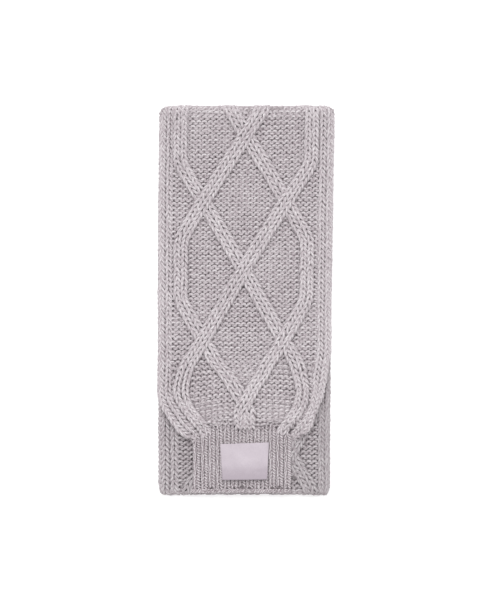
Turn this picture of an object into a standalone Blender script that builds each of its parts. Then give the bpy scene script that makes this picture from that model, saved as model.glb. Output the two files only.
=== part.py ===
"""Cable-knit scarf, folded in four and lying flat.

Metres, +Z up. The origin is in the middle of the footprint, on the surface that the scarf lies on.
The scarf runs along Y: its outer fold is at +Y, and its two ribbed cuffs lie together at -Y.
"""
import math
from collections import namedtuple

import bpy
import bmesh
from mathutils import Vector

# ---- the stack ---------------------------------------------------------------------------------
HALF_LENGTH = 0.2328        # half of the folded length
LAYER = 0.006               # one thickness of knitting in the stack
SEAM = 0.0003               # clearance between two pieces
WALL = LAYER - SEAM         # wall of a panel where it shows

# ---- the knitted relief ------------------------------------------------------------------------
CABLE_RISE = 0.0032         # height of a cable above the purl ground
CROSSING_RISE = 0.0009      # extra height of the cable that passes over
CABLE_HALF_WIDTH = 0.0093   # measured square to the cable
CABLE_SIDE_X = 0.0762       # a cable swings this far to either side of the lattice's middle
CABLE_PERIOD = 0.3273       # length in which a cable crosses from one side to the other
CABLE_STRAIGHT = 0.0357     # half length of a cable's straight run at a side
LATTICE_MIDDLE_X = -0.0015
TOP_LATTICE_Y = 0.0362      # where a cable of the front panel is at its left side
LOWER_LATTICE_Y = -0.0935   # the same for the layer that shows at the corners
CABLES = 4
EDGE_STRIP_WIDTH = 0.0178
EDGE_STRIP_RISE = 0.0014

# ---- the panels --------------------------------------------------------------------------------
REFERENCE_HALF_WIDTH = 0.105    # half of the panel's width where it isn't gathered
COLUMN_STEP = 0.0046
ROW_STEP = 0.0050
FOLD_STEPS = 10                 # rows round half a turn of a fold
FOLD_RELIEF = 0.12              # share of the relief that is left at the front of a fold
FOLD_CORNER = 0.009             # corner radius of the outer fold, seen from above
END_CORNER = 0.004              # the same for the end fold
TUCK = 0.015                    # how far a folded wall runs back under the stack
GATHER_START_Y = -0.110         # the front panel is full and flat above this line
LOWER_START_Y = -0.080          # the lower panel shows below this line
EDGE_OFFSETS = (0.0, 0.0009, 0.0031)    # the outermost columns, which round the knitted edge
EDGE_LEVELS = (0.34, 0.74, 1.0)         # their heights, as shares of the wall
RIM_INSET = 0.0008                      # the wall's underside stops this far inside its edge

OUTER_FOLD_Y = HALF_LENGTH - 2 * LAYER - FOLD_RELIEF * (CABLE_RISE + CROSSING_RISE)
END_FOLD_Y = -(HALF_LENGTH - LAYER - FOLD_RELIEF * (CABLE_RISE + CROSSING_RISE))

Edge = namedtuple("Edge", "y left right")
FRONT_EDGES = (
    Edge(y=0.2328, left=-0.1030, right=0.1050),
    Edge(y=0.1130, left=-0.1045, right=0.1029),
    Edge(y=0.0000, left=-0.1050, right=0.1012),
    Edge(y=-0.0590, left=-0.1050, right=0.1009),
    Edge(y=-0.0920, left=-0.1050, right=0.0962),
    Edge(y=GATHER_START_Y, left=-0.1050, right=0.0922),
)
HIDDEN_EDGES = (
    Edge(y=0.2328, left=-0.1022, right=0.1040),
    Edge(y=0.0000, left=-0.1040, right=0.1008),
    Edge(y=-0.2328, left=-0.1040, right=0.0990),
)
LOWER_EDGES = (
    Edge(y=LOWER_START_Y, left=-0.1048, right=0.1004),
    Edge(y=-0.2328, left=-0.1046, right=0.0994),
)

# Rows of the front panel where it is drawn in to the cuff: the middle of a row is nearer the cuff
# than its ends until the shoulders roll over and reach down beside the cuff.
Gather = namedtuple("Gather", "middle_y left_x left_y right_x right_y top under")
GATHERS = (
    Gather(GATHER_START_Y, -0.1050, -0.1100, 0.0922, -0.1100, 0.0240, 0.0183),
    Gather(-0.1240, -0.1010, -0.1260, 0.0885, -0.1260, 0.0240, 0.0183),
    Gather(-0.1360, -0.0955, -0.1450, 0.0850, -0.1425, 0.0237, 0.0183),
    Gather(-0.1450, -0.0840, -0.1603, 0.0770, -0.1530, 0.0229, 0.0175),
    Gather(-0.1510, -0.0745, -0.1675, 0.0690, -0.1625, 0.0218, 0.0167),
    Gather(-0.1545, -0.0640, -0.1708, 0.0545, -0.1675, 0.0208, 0.0164),
)
GATHER_STEPS = 2                # rows between two lines of the table
SHOULDER_POWER = 5.0            # how late across a row its ends bend down

# ---- the cuffs ---------------------------------------------------------------------------------
RIBS = 13
RIB_COLUMNS = 4
CUFF_ROWS = 8
Cuff = namedtuple("Cuff", "left right top_y left_y right_y bottom_y under face rib_rise sag")
FRONT_CUFF = Cuff(-0.0634, 0.0533, -0.1548, -0.1711, -0.1678, -0.2298, 0.0163, 0.0193, 0.0012, 0.0035)
UNDER_CUFF = Cuff(-0.0585, 0.0592, -0.1365, -0.1365, -0.1365, -0.2105, 0.0123, 0.0150, 0.0010, 0.0)
CUFF_EDGE_DROP = 0.0010         # how far a cuff's face falls to its sides
SAG_START = 0.75                # share of a cuff's length where it starts to sag past the other end

# ---- the label ---------------------------------------------------------------------------------
LABEL_THICKNESS = 0.0009
LABEL_BULGE = 0.0007
LABEL_LIFT = 0.0016             # how far its free lower edge stands off the cuff
LABEL_COLUMNS = 10
LABEL_ROWS = 7
Corner = namedtuple("Corner", "x y")
LABEL_TOP_LEFT = Corner(-0.0312, -0.1709)
LABEL_TOP_RIGHT = Corner(0.0271, -0.1691)
LABEL_BOTTOM_LEFT = Corner(-0.0277, -0.2137)
LABEL_BOTTOM_RIGHT = Corner(0.0235, -0.2131)

# ---- the hidden layers -------------------------------------------------------------------------
OUTLINE_CORNER_POINTS = 6
Level = namedtuple("Level", "share inset")
LAYER_LEVELS = (                # how one layer's edge bulges between the grooves beside it
    Level(0.0, 0.0024),
    Level(0.15, 0.0009),
    Level(0.5, 0.0),
    Level(0.85, 0.0009),
    Level(1.0, 0.0024),
)
SECOND_LAYER_END_Y = -0.1360
SECOND_LAYER_CORNER = 0.022
SECOND_LAYER_INSET = 0.0015     # the second layer's edges lie this far inside the front panel's

Colour = namedtuple("Colour", "red green blue")
YARN = Colour(0.50, 0.45, 0.475)
SATIN = Colour(0.60, 0.54, 0.59)


def lerp(a, b, t):
    return a + (b - a) * t


def clamp(value, low=0.0, high=1.0):
    return max(low, min(high, value))


def smooth(t):
    t = clamp(t)
    return t * t * (3.0 - 2.0 * t)


def edges_at(table, y):
    """The left and right edge at y, between the rows of a table that runs down in y."""
    if y >= table[0].y:
        return table[0].left, table[0].right
    for above, below in zip(table, table[1:]):
        if y >= below.y:
            t = (above.y - y) / (above.y - below.y)
            return lerp(above.left, below.left, t), lerp(above.right, below.right, t)
    return table[-1].left, table[-1].right


def corner_inset(y, end_y, radius):
    """How far a rounded corner draws an edge in, close to an end of the scarf."""
    into = clamp(radius - abs(end_y - y), 0.0, radius)
    return radius - math.sqrt(radius * radius - into * into)


# ---- relief ------------------------------------------------------------------------------------
def cable_place(y, phase_y):
    """A cable's distance from the lattice's middle at y, and the way it runs: -1, 0 or 1."""
    along = (y - phase_y + CABLE_PERIOD) % (2.0 * CABLE_PERIOD) - CABLE_PERIOD
    share = (abs(along) - CABLE_STRAIGHT) / (CABLE_PERIOD - 2.0 * CABLE_STRAIGHT)
    way = 0.0
    if 0.0 < share < 1.0:
        way = math.copysign(1.0, along)
    return CABLE_SIDE_X * (2.0 * clamp(share) - 1.0), way


def cable_relief(x, y, lattice_y):
    """Height of the cables above the ground; the ones that run up to the right pass over."""
    slope = 2.0 * CABLE_SIDE_X / (CABLE_PERIOD - 2.0 * CABLE_STRAIGHT)
    height = 0.0
    for index in range(CABLES):
        place, way = cable_place(y, lattice_y + index * CABLE_PERIOD / 2.0)
        across = (x - LATTICE_MIDDLE_X - place) / math.hypot(1.0, slope * way)
        share = 1.0 - (across / CABLE_HALF_WIDTH) ** 2
        if share > 0.0:
            height = max(height, CABLE_RISE * share ** 0.5 + CROSSING_RISE * share * (way > 0.0))
    return height


def edge_relief(x):
    """Height of the two stockinette strips along the edges."""
    inside = REFERENCE_HALF_WIDTH - abs(x)
    share = 1.0 - (2.0 * inside / EDGE_STRIP_WIDTH - 1.0) ** 2
    return EDGE_STRIP_RISE * max(0.0, share)


def relief(x, y, lattice_y):
    return max(cable_relief(x, y, lattice_y), edge_relief(x))


# ---- walls -------------------------------------------------------------------------------------
Row = namedtuple("Row", "left right middle_y left_y right_y height normal wall_y relief under")


def flat_row(y, left, right, height, pattern_y, under=None):
    return Row(left, right, y, y, y, height, Vector((0.0, 0.0, 1.0)), pattern_y, 1.0, under)


def columns():
    """Places across a panel, on its reference width, with the close ones that round its edges."""
    first = EDGE_OFFSETS[-1]
    span = 2.0 * (REFERENCE_HALF_WIDTH - first)
    count = round(span / COLUMN_STEP)
    near = [offset - REFERENCE_HALF_WIDTH for offset in EDGE_OFFSETS[:-1]]
    middle = [first - REFERENCE_HALF_WIDTH + span * index / count for index in range(count + 1)]
    return near + middle + [-place for place in reversed(near)]


def edge_level(index, count):
    """Share of the wall's thickness at a column, less than 1 only at the rounded edges."""
    from_edge = min(index, count - 1 - index)
    return EDGE_LEVELS[min(from_edge, len(EDGE_LEVELS) - 1)]


def row_point(row, share):
    """A row's point at a share of its width, on its base surface."""
    side = abs(2.0 * share - 1.0) ** SHOULDER_POWER
    end_y = row.left_y if share < 0.5 else row.right_y
    return Vector((lerp(row.left, row.right, share), lerp(row.middle_y, end_y, side), row.height))


def panel_points(rows, lattice_y, cover=None):
    """Outer grid of a panel from its rows, and the points of its plain underside."""
    places = columns()
    outer = []
    inner = []
    for row in rows:
        outer_row = []
        inner_row = []
        thickness = WALL if row.under is None else row.height - row.under
        for index, place in enumerate(places):
            share = (place + REFERENCE_HALF_WIDTH) / (2.0 * REFERENCE_HALF_WIDTH)
            base = row_point(row, share)
            level = edge_level(index, len(places))
            rise = relief(place, row.wall_y, lattice_y) * row.relief
            if cover is not None:
                rise *= cover(base.x, base.y)
            if level < 1.0:
                rise = -thickness * (1.0 - level)
            outer_row.append(base + row.normal * rise)
            toward = RIM_INSET if index == 0 else -RIM_INSET if index == len(places) - 1 else 0.0
            inner_row.append(base - row.normal * thickness + Vector((toward, 0.0, 0.0)))
        outer.append(outer_row)
        inner.append(inner_row)
    return outer, inner


def kept(count, step, also=()):
    """Indices of the coarse underside grid: the ends, every step-th one, and the ones in also."""
    return sorted(set(range(0, count, step)) | {count - 1} | set(also))


def kept_columns(count):
    """Columns of a panel's underside: close together where its shoulders bend, far apart between."""
    bend = count // 3
    left = range(0, bend, 2)
    right = [count - 1 - index for index in left]
    return kept(count, 7, [*left, *right])


def add_rim(mesh, outer_line, inner_line, keep):
    """Faces that close a wall's rim between its fine and its coarse boundary."""
    for start, stop in zip(keep, keep[1:]):
        mesh.faces.new(outer_line[start:stop + 1] + [inner_line[stop], inner_line[start]])


def wall(name, colour, roughness, outer, inner, keep_rows, keep_columns):
    """A closed wall: a fine outer grid over a coarse plain one that shares its rims."""
    mesh = bmesh.new()
    top = [[mesh.verts.new(point) for point in line] for line in outer]
    bottom = {(r, c): mesh.verts.new(inner[r][c]) for r in keep_rows for c in keep_columns}
    for upper, lower in zip(top, top[1:]):
        for index in range(len(upper) - 1):
            a, b, c, d = upper[index], upper[index + 1], lower[index + 1], lower[index]
            # the shorter step in height becomes the quad's diagonal, so that it follows a cable
            if abs(a.co.z - c.co.z) <= abs(b.co.z - d.co.z):
                mesh.faces.new((a, b, c))
                mesh.faces.new((a, c, d))
            else:
                mesh.faces.new((a, b, d))
                mesh.faces.new((b, c, d))
    for r0, r1 in zip(keep_rows, keep_rows[1:]):
        for c0, c1 in zip(keep_columns, keep_columns[1:]):
            mesh.faces.new((bottom[r0, c0], bottom[r1, c0], bottom[r1, c1], bottom[r0, c1]))
    for column in (0, len(top[0]) - 1):
        inner_line = {row: bottom[row, column] for row in keep_rows}
        add_rim(mesh, [line[column] for line in top], inner_line, keep_rows)
    for row in (0, len(top) - 1):
        inner_line = {column: bottom[row, column] for column in keep_columns}
        add_rim(mesh, top[row], inner_line, keep_columns)
    return finish(name, colour, roughness, mesh)


def finish(name, colour, roughness, mesh):
    """Turns a closed bmesh into a named object with its own material."""
    bmesh.ops.recalc_face_normals(mesh, faces=mesh.faces)
    bmesh.ops.triangulate(mesh, faces=mesh.faces)
    data = bpy.data.meshes.new(name)
    mesh.to_mesh(data)
    mesh.free()
    data.shade_smooth()
    material = bpy.data.materials.new(name + "_finish")
    material.use_nodes = True
    shader = material.node_tree.nodes["Principled BSDF"]
    shader.inputs["Base Color"].default_value = (*colour, 1.0)
    shader.inputs["Roughness"].default_value = roughness
    shader.inputs["Metallic"].default_value = 0.0
    data.materials.append(material)
    built = bpy.data.objects.new(name, data)
    bpy.context.scene.collection.objects.link(built)
    return built


def fold_rows(edges, centre_y, centre_z, radius, side, corner, pattern_sign):
    """Rows round a fold, and the row where its wall ends under the stack.

    side is +1 for the fold at +Y and -1 for the one at -Y.
    """
    rows = []
    end_y = side * HALF_LENGTH
    for step in range(1, FOLD_STEPS + 1):
        angle = math.pi * step / FOLD_STEPS
        y = centre_y + side * radius * math.sin(angle)
        left, right = edges_at(edges, y)
        inset = corner_inset(y, end_y, corner)
        share = min(1.0, angle / (math.pi / 2.0))
        fade = lerp(1.0, FOLD_RELIEF, share)
        if angle > math.pi / 2.0:
            fade = FOLD_RELIEF * clamp(1.0 - (angle - math.pi / 2.0) / (math.pi / 3.0))
        normal = Vector((0.0, side * math.sin(angle), math.cos(angle)))
        height = centre_z + radius * math.cos(angle)
        pattern_y = centre_y + pattern_sign * radius * angle
        rows.append(Row(left + inset, right - inset, y, y, y, height, normal, pattern_y, fade, None))
    last = rows[-1]
    tuck_y = centre_y - side * TUCK
    rows.append(last._replace(middle_y=tuck_y, left_y=tuck_y, right_y=tuck_y))
    return rows


def flat_rows(edges, start_y, stop_y, height, end_y, corner):
    """Evenly spaced rows from start_y to stop_y, both included."""
    count = max(1, round(abs(stop_y - start_y) / ROW_STEP))
    rows = []
    for index in range(count + 1):
        y = lerp(start_y, stop_y, index / count)
        left, right = edges_at(edges, y)
        inset = corner_inset(y, end_y, corner)
        rows.append(flat_row(y, left + inset, right - inset, height, y))
    return rows


def gather_rows():
    """Rows from the cuff up to the line where the panel is full."""
    rows = []
    for above, below in zip(GATHERS, GATHERS[1:]):
        for step in range(GATHER_STEPS):
            mixed = Gather(*(lerp(a, b, (step + 1) / GATHER_STEPS) for a, b in zip(above, below)))
            rows.append(mixed)
    rows.reverse()
    up = Vector((0.0, 0.0, 1.0))
    return [
        Row(row.left_x, row.right_x, row.middle_y, row.left_y, row.right_y,
            row.top, up, row.middle_y, smooth((row.top - GATHERS[-1].top) / 0.0024), row.under)
        for row in rows
    ]


def build_front_panel():
    """The stretch on top, from its gathered end round the outer fold to the underside."""
    height = 4.0 * LAYER
    rows = gather_rows()
    flat_start = len(rows)
    rows += flat_rows(FRONT_EDGES, GATHER_START_Y, OUTER_FOLD_Y, height, HALF_LENGTH, FOLD_CORNER)
    fold_start = len(rows) - 1
    rows += fold_rows(FRONT_EDGES, OUTER_FOLD_Y, 2.0 * LAYER, 2.0 * LAYER, 1.0, FOLD_CORNER, 1.0)
    outer, inner = panel_points(rows, TOP_LATTICE_Y)
    curved = list(range(flat_start + 1)) + list(range(fold_start - 1, len(rows)))
    keep_rows = kept(len(rows), 8, curved)
    keep_columns = kept_columns(len(outer[0]))
    return wall("front_panel", YARN, 0.95, outer, inner, keep_rows, keep_columns)


def cover_edges(y):
    """Left and right edge at y of what lies on the lower panel."""
    if y < GATHERS[-1].left_y:
        return FRONT_CUFF.left, UNDER_CUFF.right
    left, right = edges_at(FRONT_EDGES, y)
    for above, below in zip(GATHERS, GATHERS[1:]):
        if below.left_y <= y <= above.left_y:
            left = lerp(above.left_x, below.left_x, (above.left_y - y) / (above.left_y - below.left_y))
        if below.right_y <= y <= above.right_y:
            t = (above.right_y - y) / (above.right_y - below.right_y)
            right = lerp(above.right_x, below.right_x, t)
    if y < GATHERS[-1].right_y:
        right = UNDER_CUFF.right
    return left, max(right, UNDER_CUFF.right)


def uncovered(x, y):
    """1 where the lower panel shows, falling to 0 where the other layers press on it."""
    left, right = cover_edges(y)
    outside = max(left - x, x - right)
    return smooth((outside - 0.002) / 0.006)


def build_lower_panel():
    """The stretch that shows at the two corners, with the end fold."""
    height = 2.0 * LAYER
    start_y = LOWER_START_Y - SEAM
    rows = flat_rows(LOWER_EDGES, start_y, END_FOLD_Y, height, -HALF_LENGTH, END_CORNER)
    fold_start = len(rows) - 1
    rows += fold_rows(LOWER_EDGES, END_FOLD_Y, LAYER, LAYER, -1.0, END_CORNER, -1.0)
    outer, inner = panel_points(rows, LOWER_LATTICE_Y, uncovered)
    keep_rows = kept(len(rows), 8, range(fold_start - 1, len(rows)))
    keep_columns = kept(len(outer[0]), 8)
    return wall("lower_panel", YARN, 0.95, outer, inner, keep_rows, keep_columns)


def rib_height(share):
    """Height of the ribs across a cuff, 0 to 1, with a groove at either side."""
    return 0.5 - 0.5 * math.cos(2.0 * math.pi * RIBS * share)


def build_cuff(name, cuff):
    """One ribbed cuff, hanging from a top line that follows the gathered panel."""
    columns_across = RIBS * RIB_COLUMNS
    outer = []
    inner = []
    for step in range(CUFF_ROWS + 1):
        down = step / CUFF_ROWS
        outer_row = []
        inner_row = []
        for column in range(columns_across + 1):
            share = column / columns_across
            side = abs(2.0 * share - 1.0) ** SHOULDER_POWER
            end_y = cuff.left_y if share < 0.5 else cuff.right_y
            y = lerp(lerp(cuff.top_y, end_y, side), cuff.bottom_y, down)
            x = lerp(cuff.left, cuff.right, share)
            sag = cuff.sag * smooth((down - SAG_START) / (1.0 - SAG_START))
            fall = CUFF_EDGE_DROP * abs(2.0 * share - 1.0) ** 8 + sag
            outer_row.append(Vector((x, y, cuff.face + cuff.rib_rise * rib_height(share) - fall)))
            inner_row.append(Vector((x, y, cuff.under - sag)))
        outer.append(outer_row)
        inner.append(inner_row)
    keep_rows = kept(CUFF_ROWS + 1, 1 if cuff.sag else CUFF_ROWS)
    return wall(name, YARN, 0.95, outer, inner, keep_rows, kept(columns_across + 1, 2))


def build_label():
    """The satin label on the front cuff, stitched on at the top and free at its lower edge."""
    face = FRONT_CUFF.face + FRONT_CUFF.rib_rise + SEAM
    outer = []
    inner = []
    for step in range(LABEL_ROWS + 1):
        down = step / LABEL_ROWS
        outer_row = []
        inner_row = []
        for column in range(LABEL_COLUMNS + 1):
            share = column / LABEL_COLUMNS
            top_x = lerp(LABEL_TOP_LEFT.x, LABEL_TOP_RIGHT.x, share)
            top_y = lerp(LABEL_TOP_LEFT.y, LABEL_TOP_RIGHT.y, share)
            bottom_x = lerp(LABEL_BOTTOM_LEFT.x, LABEL_BOTTOM_RIGHT.x, share)
            bottom_y = lerp(LABEL_BOTTOM_LEFT.y, LABEL_BOTTOM_RIGHT.y, share)
            bulge = LABEL_BULGE * math.sin(math.pi * share)
            z = face + bulge + LABEL_LIFT * down ** 4
            point = Vector((lerp(top_x, bottom_x, down), lerp(top_y, bottom_y, down), z))
            inner_row.append(point)
            outer_row.append(point + Vector((0.0, 0.0, LABEL_THICKNESS)))
        outer.append(outer_row)
        inner.append(inner_row)
    everything = range(LABEL_ROWS + 1), range(LABEL_COLUMNS + 1)
    return wall("label", SATIN, 0.45, outer, inner, *(list(line) for line in everything))


# ---- hidden layers -----------------------------------------------------------------------------
def outline(edges, top_y, bottom_y, top_radius, bottom_radius, inset):
    """A closed outline with rounded corners, from the left edge's top round to the right."""
    top_y -= inset
    bottom_y += inset
    points = []
    quarters = (
        # side of the scarf, end, radius and the angle at which its arc starts
        ("left", top_y, -top_radius, 180.0, -1.0),
        ("right", top_y, -top_radius, 90.0, 1.0),
        ("right", bottom_y, bottom_radius, 0.0, 1.0),
        ("left", bottom_y, bottom_radius, -90.0, -1.0),
    )
    for edge, y, reach, start, side in quarters:
        radius = abs(reach)
        for step in range(OUTLINE_CORNER_POINTS):
            angle = math.radians(start - 90.0 * step / (OUTLINE_CORNER_POINTS - 1))
            point_y = y + reach + radius * math.sin(angle)
            left, right = edges_at(edges, point_y)
            edge_x = left + inset if edge == "left" else right - inset
            points.append(Vector((edge_x + radius * (math.cos(angle) - side), point_y, 0.0)))
    return points


def build_folded_layers():
    """Everything that lies hidden: the lowest layer, the inner fold and the second layer."""
    tuck_y = OUTER_FOLD_Y - TUCK - SEAM
    second_edges = [
        Edge(edge.y, edge.left + SECOND_LAYER_INSET, edge.right - SECOND_LAYER_INSET)
        for edge in FRONT_EDGES
    ]
    stack = (
        # layer's number from below, its edges, its end at -Y and that end's corner radius
        (0, HIDDEN_EDGES, END_FOLD_Y + TUCK + SEAM, END_CORNER),
        (1, HIDDEN_EDGES, LOWER_START_Y, END_CORNER),
        (2, second_edges, SECOND_LAYER_END_Y, SECOND_LAYER_CORNER),
    )
    levels = []
    for number, edges, bottom_y, corner in stack:
        for level in LAYER_LEVELS:
            z = (number + level.share) * LAYER
            top_y = tuck_y
            if number > 0:
                reach = LAYER ** 2 - (z - 2.0 * LAYER) ** 2
                top_y = OUTER_FOLD_Y + math.sqrt(max(0.0, reach)) + level.inset
            line = outline(edges, top_y, bottom_y, FOLD_CORNER, corner, level.inset)
            levels.append([point + Vector((0.0, 0.0, z)) for point in line])
    mesh = bmesh.new()
    rings = []
    for line in levels:
        if rings and all((vert.co - point).length < SEAM / 10.0 for vert, point in zip(rings[-1], line)):
            continue
        rings.append([mesh.verts.new(point) for point in line])
    for low, high in zip(rings, rings[1:]):
        for index in range(len(low)):
            after = (index + 1) % len(low)
            mesh.faces.new((low[index], low[after], high[after], high[index]))
    mesh.faces.new(rings[0])
    mesh.faces.new(rings[-1])
    return finish("folded_layers", YARN, 0.95, mesh)


def clear_scene():
    for old in list(bpy.data.objects):
        bpy.data.objects.remove(old)


def main():
    clear_scene()
    build_folded_layers()
    build_lower_panel()
    build_cuff("under_cuff", UNDER_CUFF)
    build_front_panel()
    build_cuff("front_cuff", FRONT_CUFF)
    build_label()


main()
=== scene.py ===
"""Looks of a cable-knit scarf that lies folded in four: its yarn, cuffs, label and a plain studio.

Metres, +Z up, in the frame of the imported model. Every stitch is a loop of yarn on a guide line, and
the guide lines follow the surface of the panel or cuff that they belong to.
"""
import math
from collections import namedtuple

import bpy
import numpy as np
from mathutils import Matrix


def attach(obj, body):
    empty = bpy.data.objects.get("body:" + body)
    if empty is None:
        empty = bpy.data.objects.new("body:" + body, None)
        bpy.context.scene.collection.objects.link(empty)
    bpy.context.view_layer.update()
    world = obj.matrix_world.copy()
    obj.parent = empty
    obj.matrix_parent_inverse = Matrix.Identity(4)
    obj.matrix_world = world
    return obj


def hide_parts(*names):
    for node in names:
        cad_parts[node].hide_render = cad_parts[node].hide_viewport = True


bl_info = {
    "name": "Folded knit scarf",
    "version": (1, 0, 0),
    "blender": (4, 5, 0),
    "location": "View3D > Sidebar > Scarf",
    "description": "Knits the panels, cables, cuffs and label of a scarf that lies folded in four",
    "category": "Add Mesh",
}

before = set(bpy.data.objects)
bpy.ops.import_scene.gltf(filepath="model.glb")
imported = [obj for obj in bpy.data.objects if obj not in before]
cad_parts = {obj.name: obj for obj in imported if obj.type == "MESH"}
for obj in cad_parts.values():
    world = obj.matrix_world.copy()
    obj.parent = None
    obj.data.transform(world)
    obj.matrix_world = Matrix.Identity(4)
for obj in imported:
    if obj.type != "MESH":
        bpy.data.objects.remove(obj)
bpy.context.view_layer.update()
BODY = "root"
PANEL_SLOT = "knit_panel"
CUFF_SLOT = "knit_cuff"
LABEL_SLOT = "label_satin"
PI = math.pi
TURN = 2.0 * math.pi

# ---- the stack and its folds ---------------------------------------------------------------------
LAYER = 0.006                   # one thickness of knitting
HALF_WIDTH = 0.105              # half of a panel's width where it isn't gathered
HALF_LENGTH = 0.2328            # half of the folded length
OUTER_FOLD_Y = 0.2203           # the outer fold turns round this line, two layers up
END_FOLD_Y = -0.2263            # the end fold turns round this line, one layer up
OUTER_FOLD_RADIUS = 2.0 * LAYER
END_FOLD_RADIUS = LAYER
OUTER_FOLD_CORNER = 0.009       # corner radius of the folded outline, seen from above
END_FOLD_CORNER = 0.004
EDGE_ROLL = 0.00285             # radius of a panel's rounded side edge
CUFF_LINE_S = -0.1554           # where the front panel meets its cuff
END_SINK_S = -0.1450            # below this line the panel's end sinks in among the cuff's ribs
END_SINK = 0.0038
LOWER_START_S = -0.020          # the lower panel's edge shows below this line
LOWEST_S = END_FOLD_Y - PI * END_FOLD_RADIUS            # where the lower panel has turned under
UNDERSIDE_S = OUTER_FOLD_Y + PI * OUTER_FOLD_RADIUS     # where the front panel has turned under
UNDERSIDE_END_S = UNDERSIDE_S + OUTER_FOLD_Y - END_FOLD_Y
HIDDEN_RUN = 0.03               # in this length its edges go over to those of the hidden layers
PRESSED_TURN = 0.4 * PI         # a fold has pressed the yarn flat once the cloth has turned this far

Edge = namedtuple("Edge", "y left right")
FRONT_EDGES = (
    Edge(y=-0.1100, left=-0.1050, right=0.0922),
    Edge(y=-0.0920, left=-0.1050, right=0.0962),
    Edge(y=-0.0590, left=-0.1050, right=0.1009),
    Edge(y=0.0000, left=-0.1050, right=0.1012),
    Edge(y=0.1130, left=-0.1045, right=0.1029),
    Edge(y=0.2328, left=-0.1030, right=0.1050),
)
HIDDEN_EDGES = (
    Edge(y=-0.2328, left=-0.1040, right=0.0990),
    Edge(y=0.0000, left=-0.1040, right=0.1008),
    Edge(y=0.2328, left=-0.1022, right=0.1040),
)
LOWER_EDGES = (
    Edge(y=-0.2328, left=-0.1046, right=0.0994),
    Edge(y=-0.0800, left=-0.1046, right=0.1002),
    Edge(y=-0.0200, left=-0.1038, right=0.1000),
)
SECOND_LAYER_INSET = 0.0030     # the second layer's edges lie this far inside the front panel's
SECOND_LAYER_END_Y = -0.100
INNER_FOLD_INSET = 0.0012

# Where rows of the front panel lie once it is gathered onto the cuff: for a place along the panel,
# x, y and the height of its face at each of the places across that GATHER_U lists.
GATHER_U = (-0.105, -0.0875, -0.0684, -0.044, -0.019, -0.0015, 0.016, 0.041, 0.0654, 0.084, 0.105)
GatherRow = namedtuple("GatherRow", "s xs ys tops")
GATHER_ROWS = (
    GatherRow(
        s=-0.1640,
        xs=(-0.0600, -0.0545, -0.0423, -0.0293, -0.0143, -0.0015, 0.0107, 0.0238, 0.0360, 0.0500, 0.0600),
        ys=(-0.178, -0.1665, -0.1605, -0.1616, -0.1634, -0.164, -0.164, -0.1622, -0.1593, -0.1605, -0.1702),
        tops=(0.0186, 0.0194, 0.0196, 0.0194, 0.0194, 0.0196, 0.0194, 0.0194, 0.0196, 0.0190, 0.0176),
    ),
    GatherRow(
        s=-0.1554,
        xs=(-0.0643, -0.0574, -0.0431, -0.0295, -0.0146, -0.0015, 0.0110, 0.0241, 0.0378, 0.0530, 0.0648),
        ys=(-0.1701, -0.1572, -0.1516, -0.153, -0.1548, -0.1554, -0.1554, -0.1536, -0.1507, -0.1528, -0.165),
        tops=(0.0212, 0.0218, 0.0217, 0.0213, 0.0213, 0.0217, 0.0213, 0.0213, 0.0217, 0.0216, 0.0204),
    ),
    GatherRow(
        s=-0.1411,
        xs=(-0.0811, -0.0681, -0.0516, -0.0354, -0.0170, -0.0015, 0.0122, 0.0289, 0.0468, 0.0636, 0.0764),
        ys=(-0.1571, -0.1441, -0.1391, -0.1367, -0.1355, -0.1358, -0.1358, -0.1364, -0.1373, -0.1399,
            -0.1524),
        tops=(0.0230, 0.0235, 0.0234, 0.0230, 0.0232, 0.0234, 0.0232, 0.0230, 0.0234, 0.0235, 0.0230),
    ),
    GatherRow(
        s=-0.1269,
        xs=(-0.0935, -0.0786, -0.0611, -0.0408, -0.0193, -0.0015, 0.0134, 0.0342, 0.0540, 0.0710, 0.0824),
        ys=(-0.1402, -0.1304, -0.1273, -0.1242, -0.1221, -0.1219, -0.1219, -0.123, -0.1253, -0.1282, -0.136),
        tops=(0.0237,) + (0.0240,) * 9 + (0.0237,),
    ),
    GatherRow(
        s=-0.1090,
        xs=(-0.1050, -0.0881, -0.0668, -0.0437, -0.0193, -0.0015, 0.0137, 0.0360, 0.0583, 0.0753, 0.0910),
        ys=(-0.1167, -0.1123, -0.1094, -0.107, -0.1052, -0.1046, -0.1048, -0.1064, -0.1079, -0.1094, -0.1141),
        tops=(0.0240,) * 11,
    ),
    GatherRow(
        s=-0.0917,
        xs=(-0.1056, -0.0878, -0.0663, -0.0437, -0.0187, -0.0015, 0.0149, 0.0372, 0.0563, 0.0747, 0.0961),
        ys=(-0.0959, -0.0941, -0.0917, -0.0906, -0.0894, -0.0888, -0.089, -0.09, -0.0917, -0.0927, -0.0935),
        tops=(0.0240,) * 11,
    ),
)
# The body of the hidden layers, level by level: its height, where it ends below the front panel,
# and how far it stays inside the edges that it follows.
CoreLevel = namedtuple("CoreLevel", "z end_y edges inset")
CORE_TOP_Y = 0.2215
CORE_LEVELS = (
    CoreLevel(z=0.0024, end_y=-0.2200, edges=HIDDEN_EDGES, inset=0.0042),
    CoreLevel(z=0.0050, end_y=-0.2200, edges=HIDDEN_EDGES, inset=0.0032),
    CoreLevel(z=0.0074, end_y=-0.2200, edges=HIDDEN_EDGES, inset=0.0042),
    CoreLevel(z=0.0076, end_y=0.0, edges=FRONT_EDGES, inset=0.0080),
    CoreLevel(z=0.0130, end_y=-0.0100, edges=FRONT_EDGES, inset=0.0075),
    CoreLevel(z=0.0150, end_y=-0.0900, edges=FRONT_EDGES, inset=0.0075),
    CoreLevel(z=0.0174, end_y=-0.0920, edges=FRONT_EDGES, inset=0.0080),
)

GATHER_TOP_S = -0.0610          # above this line the panel is flat
GATHER_JOINS = (-0.0755, -0.0610, -0.0465)

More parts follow.
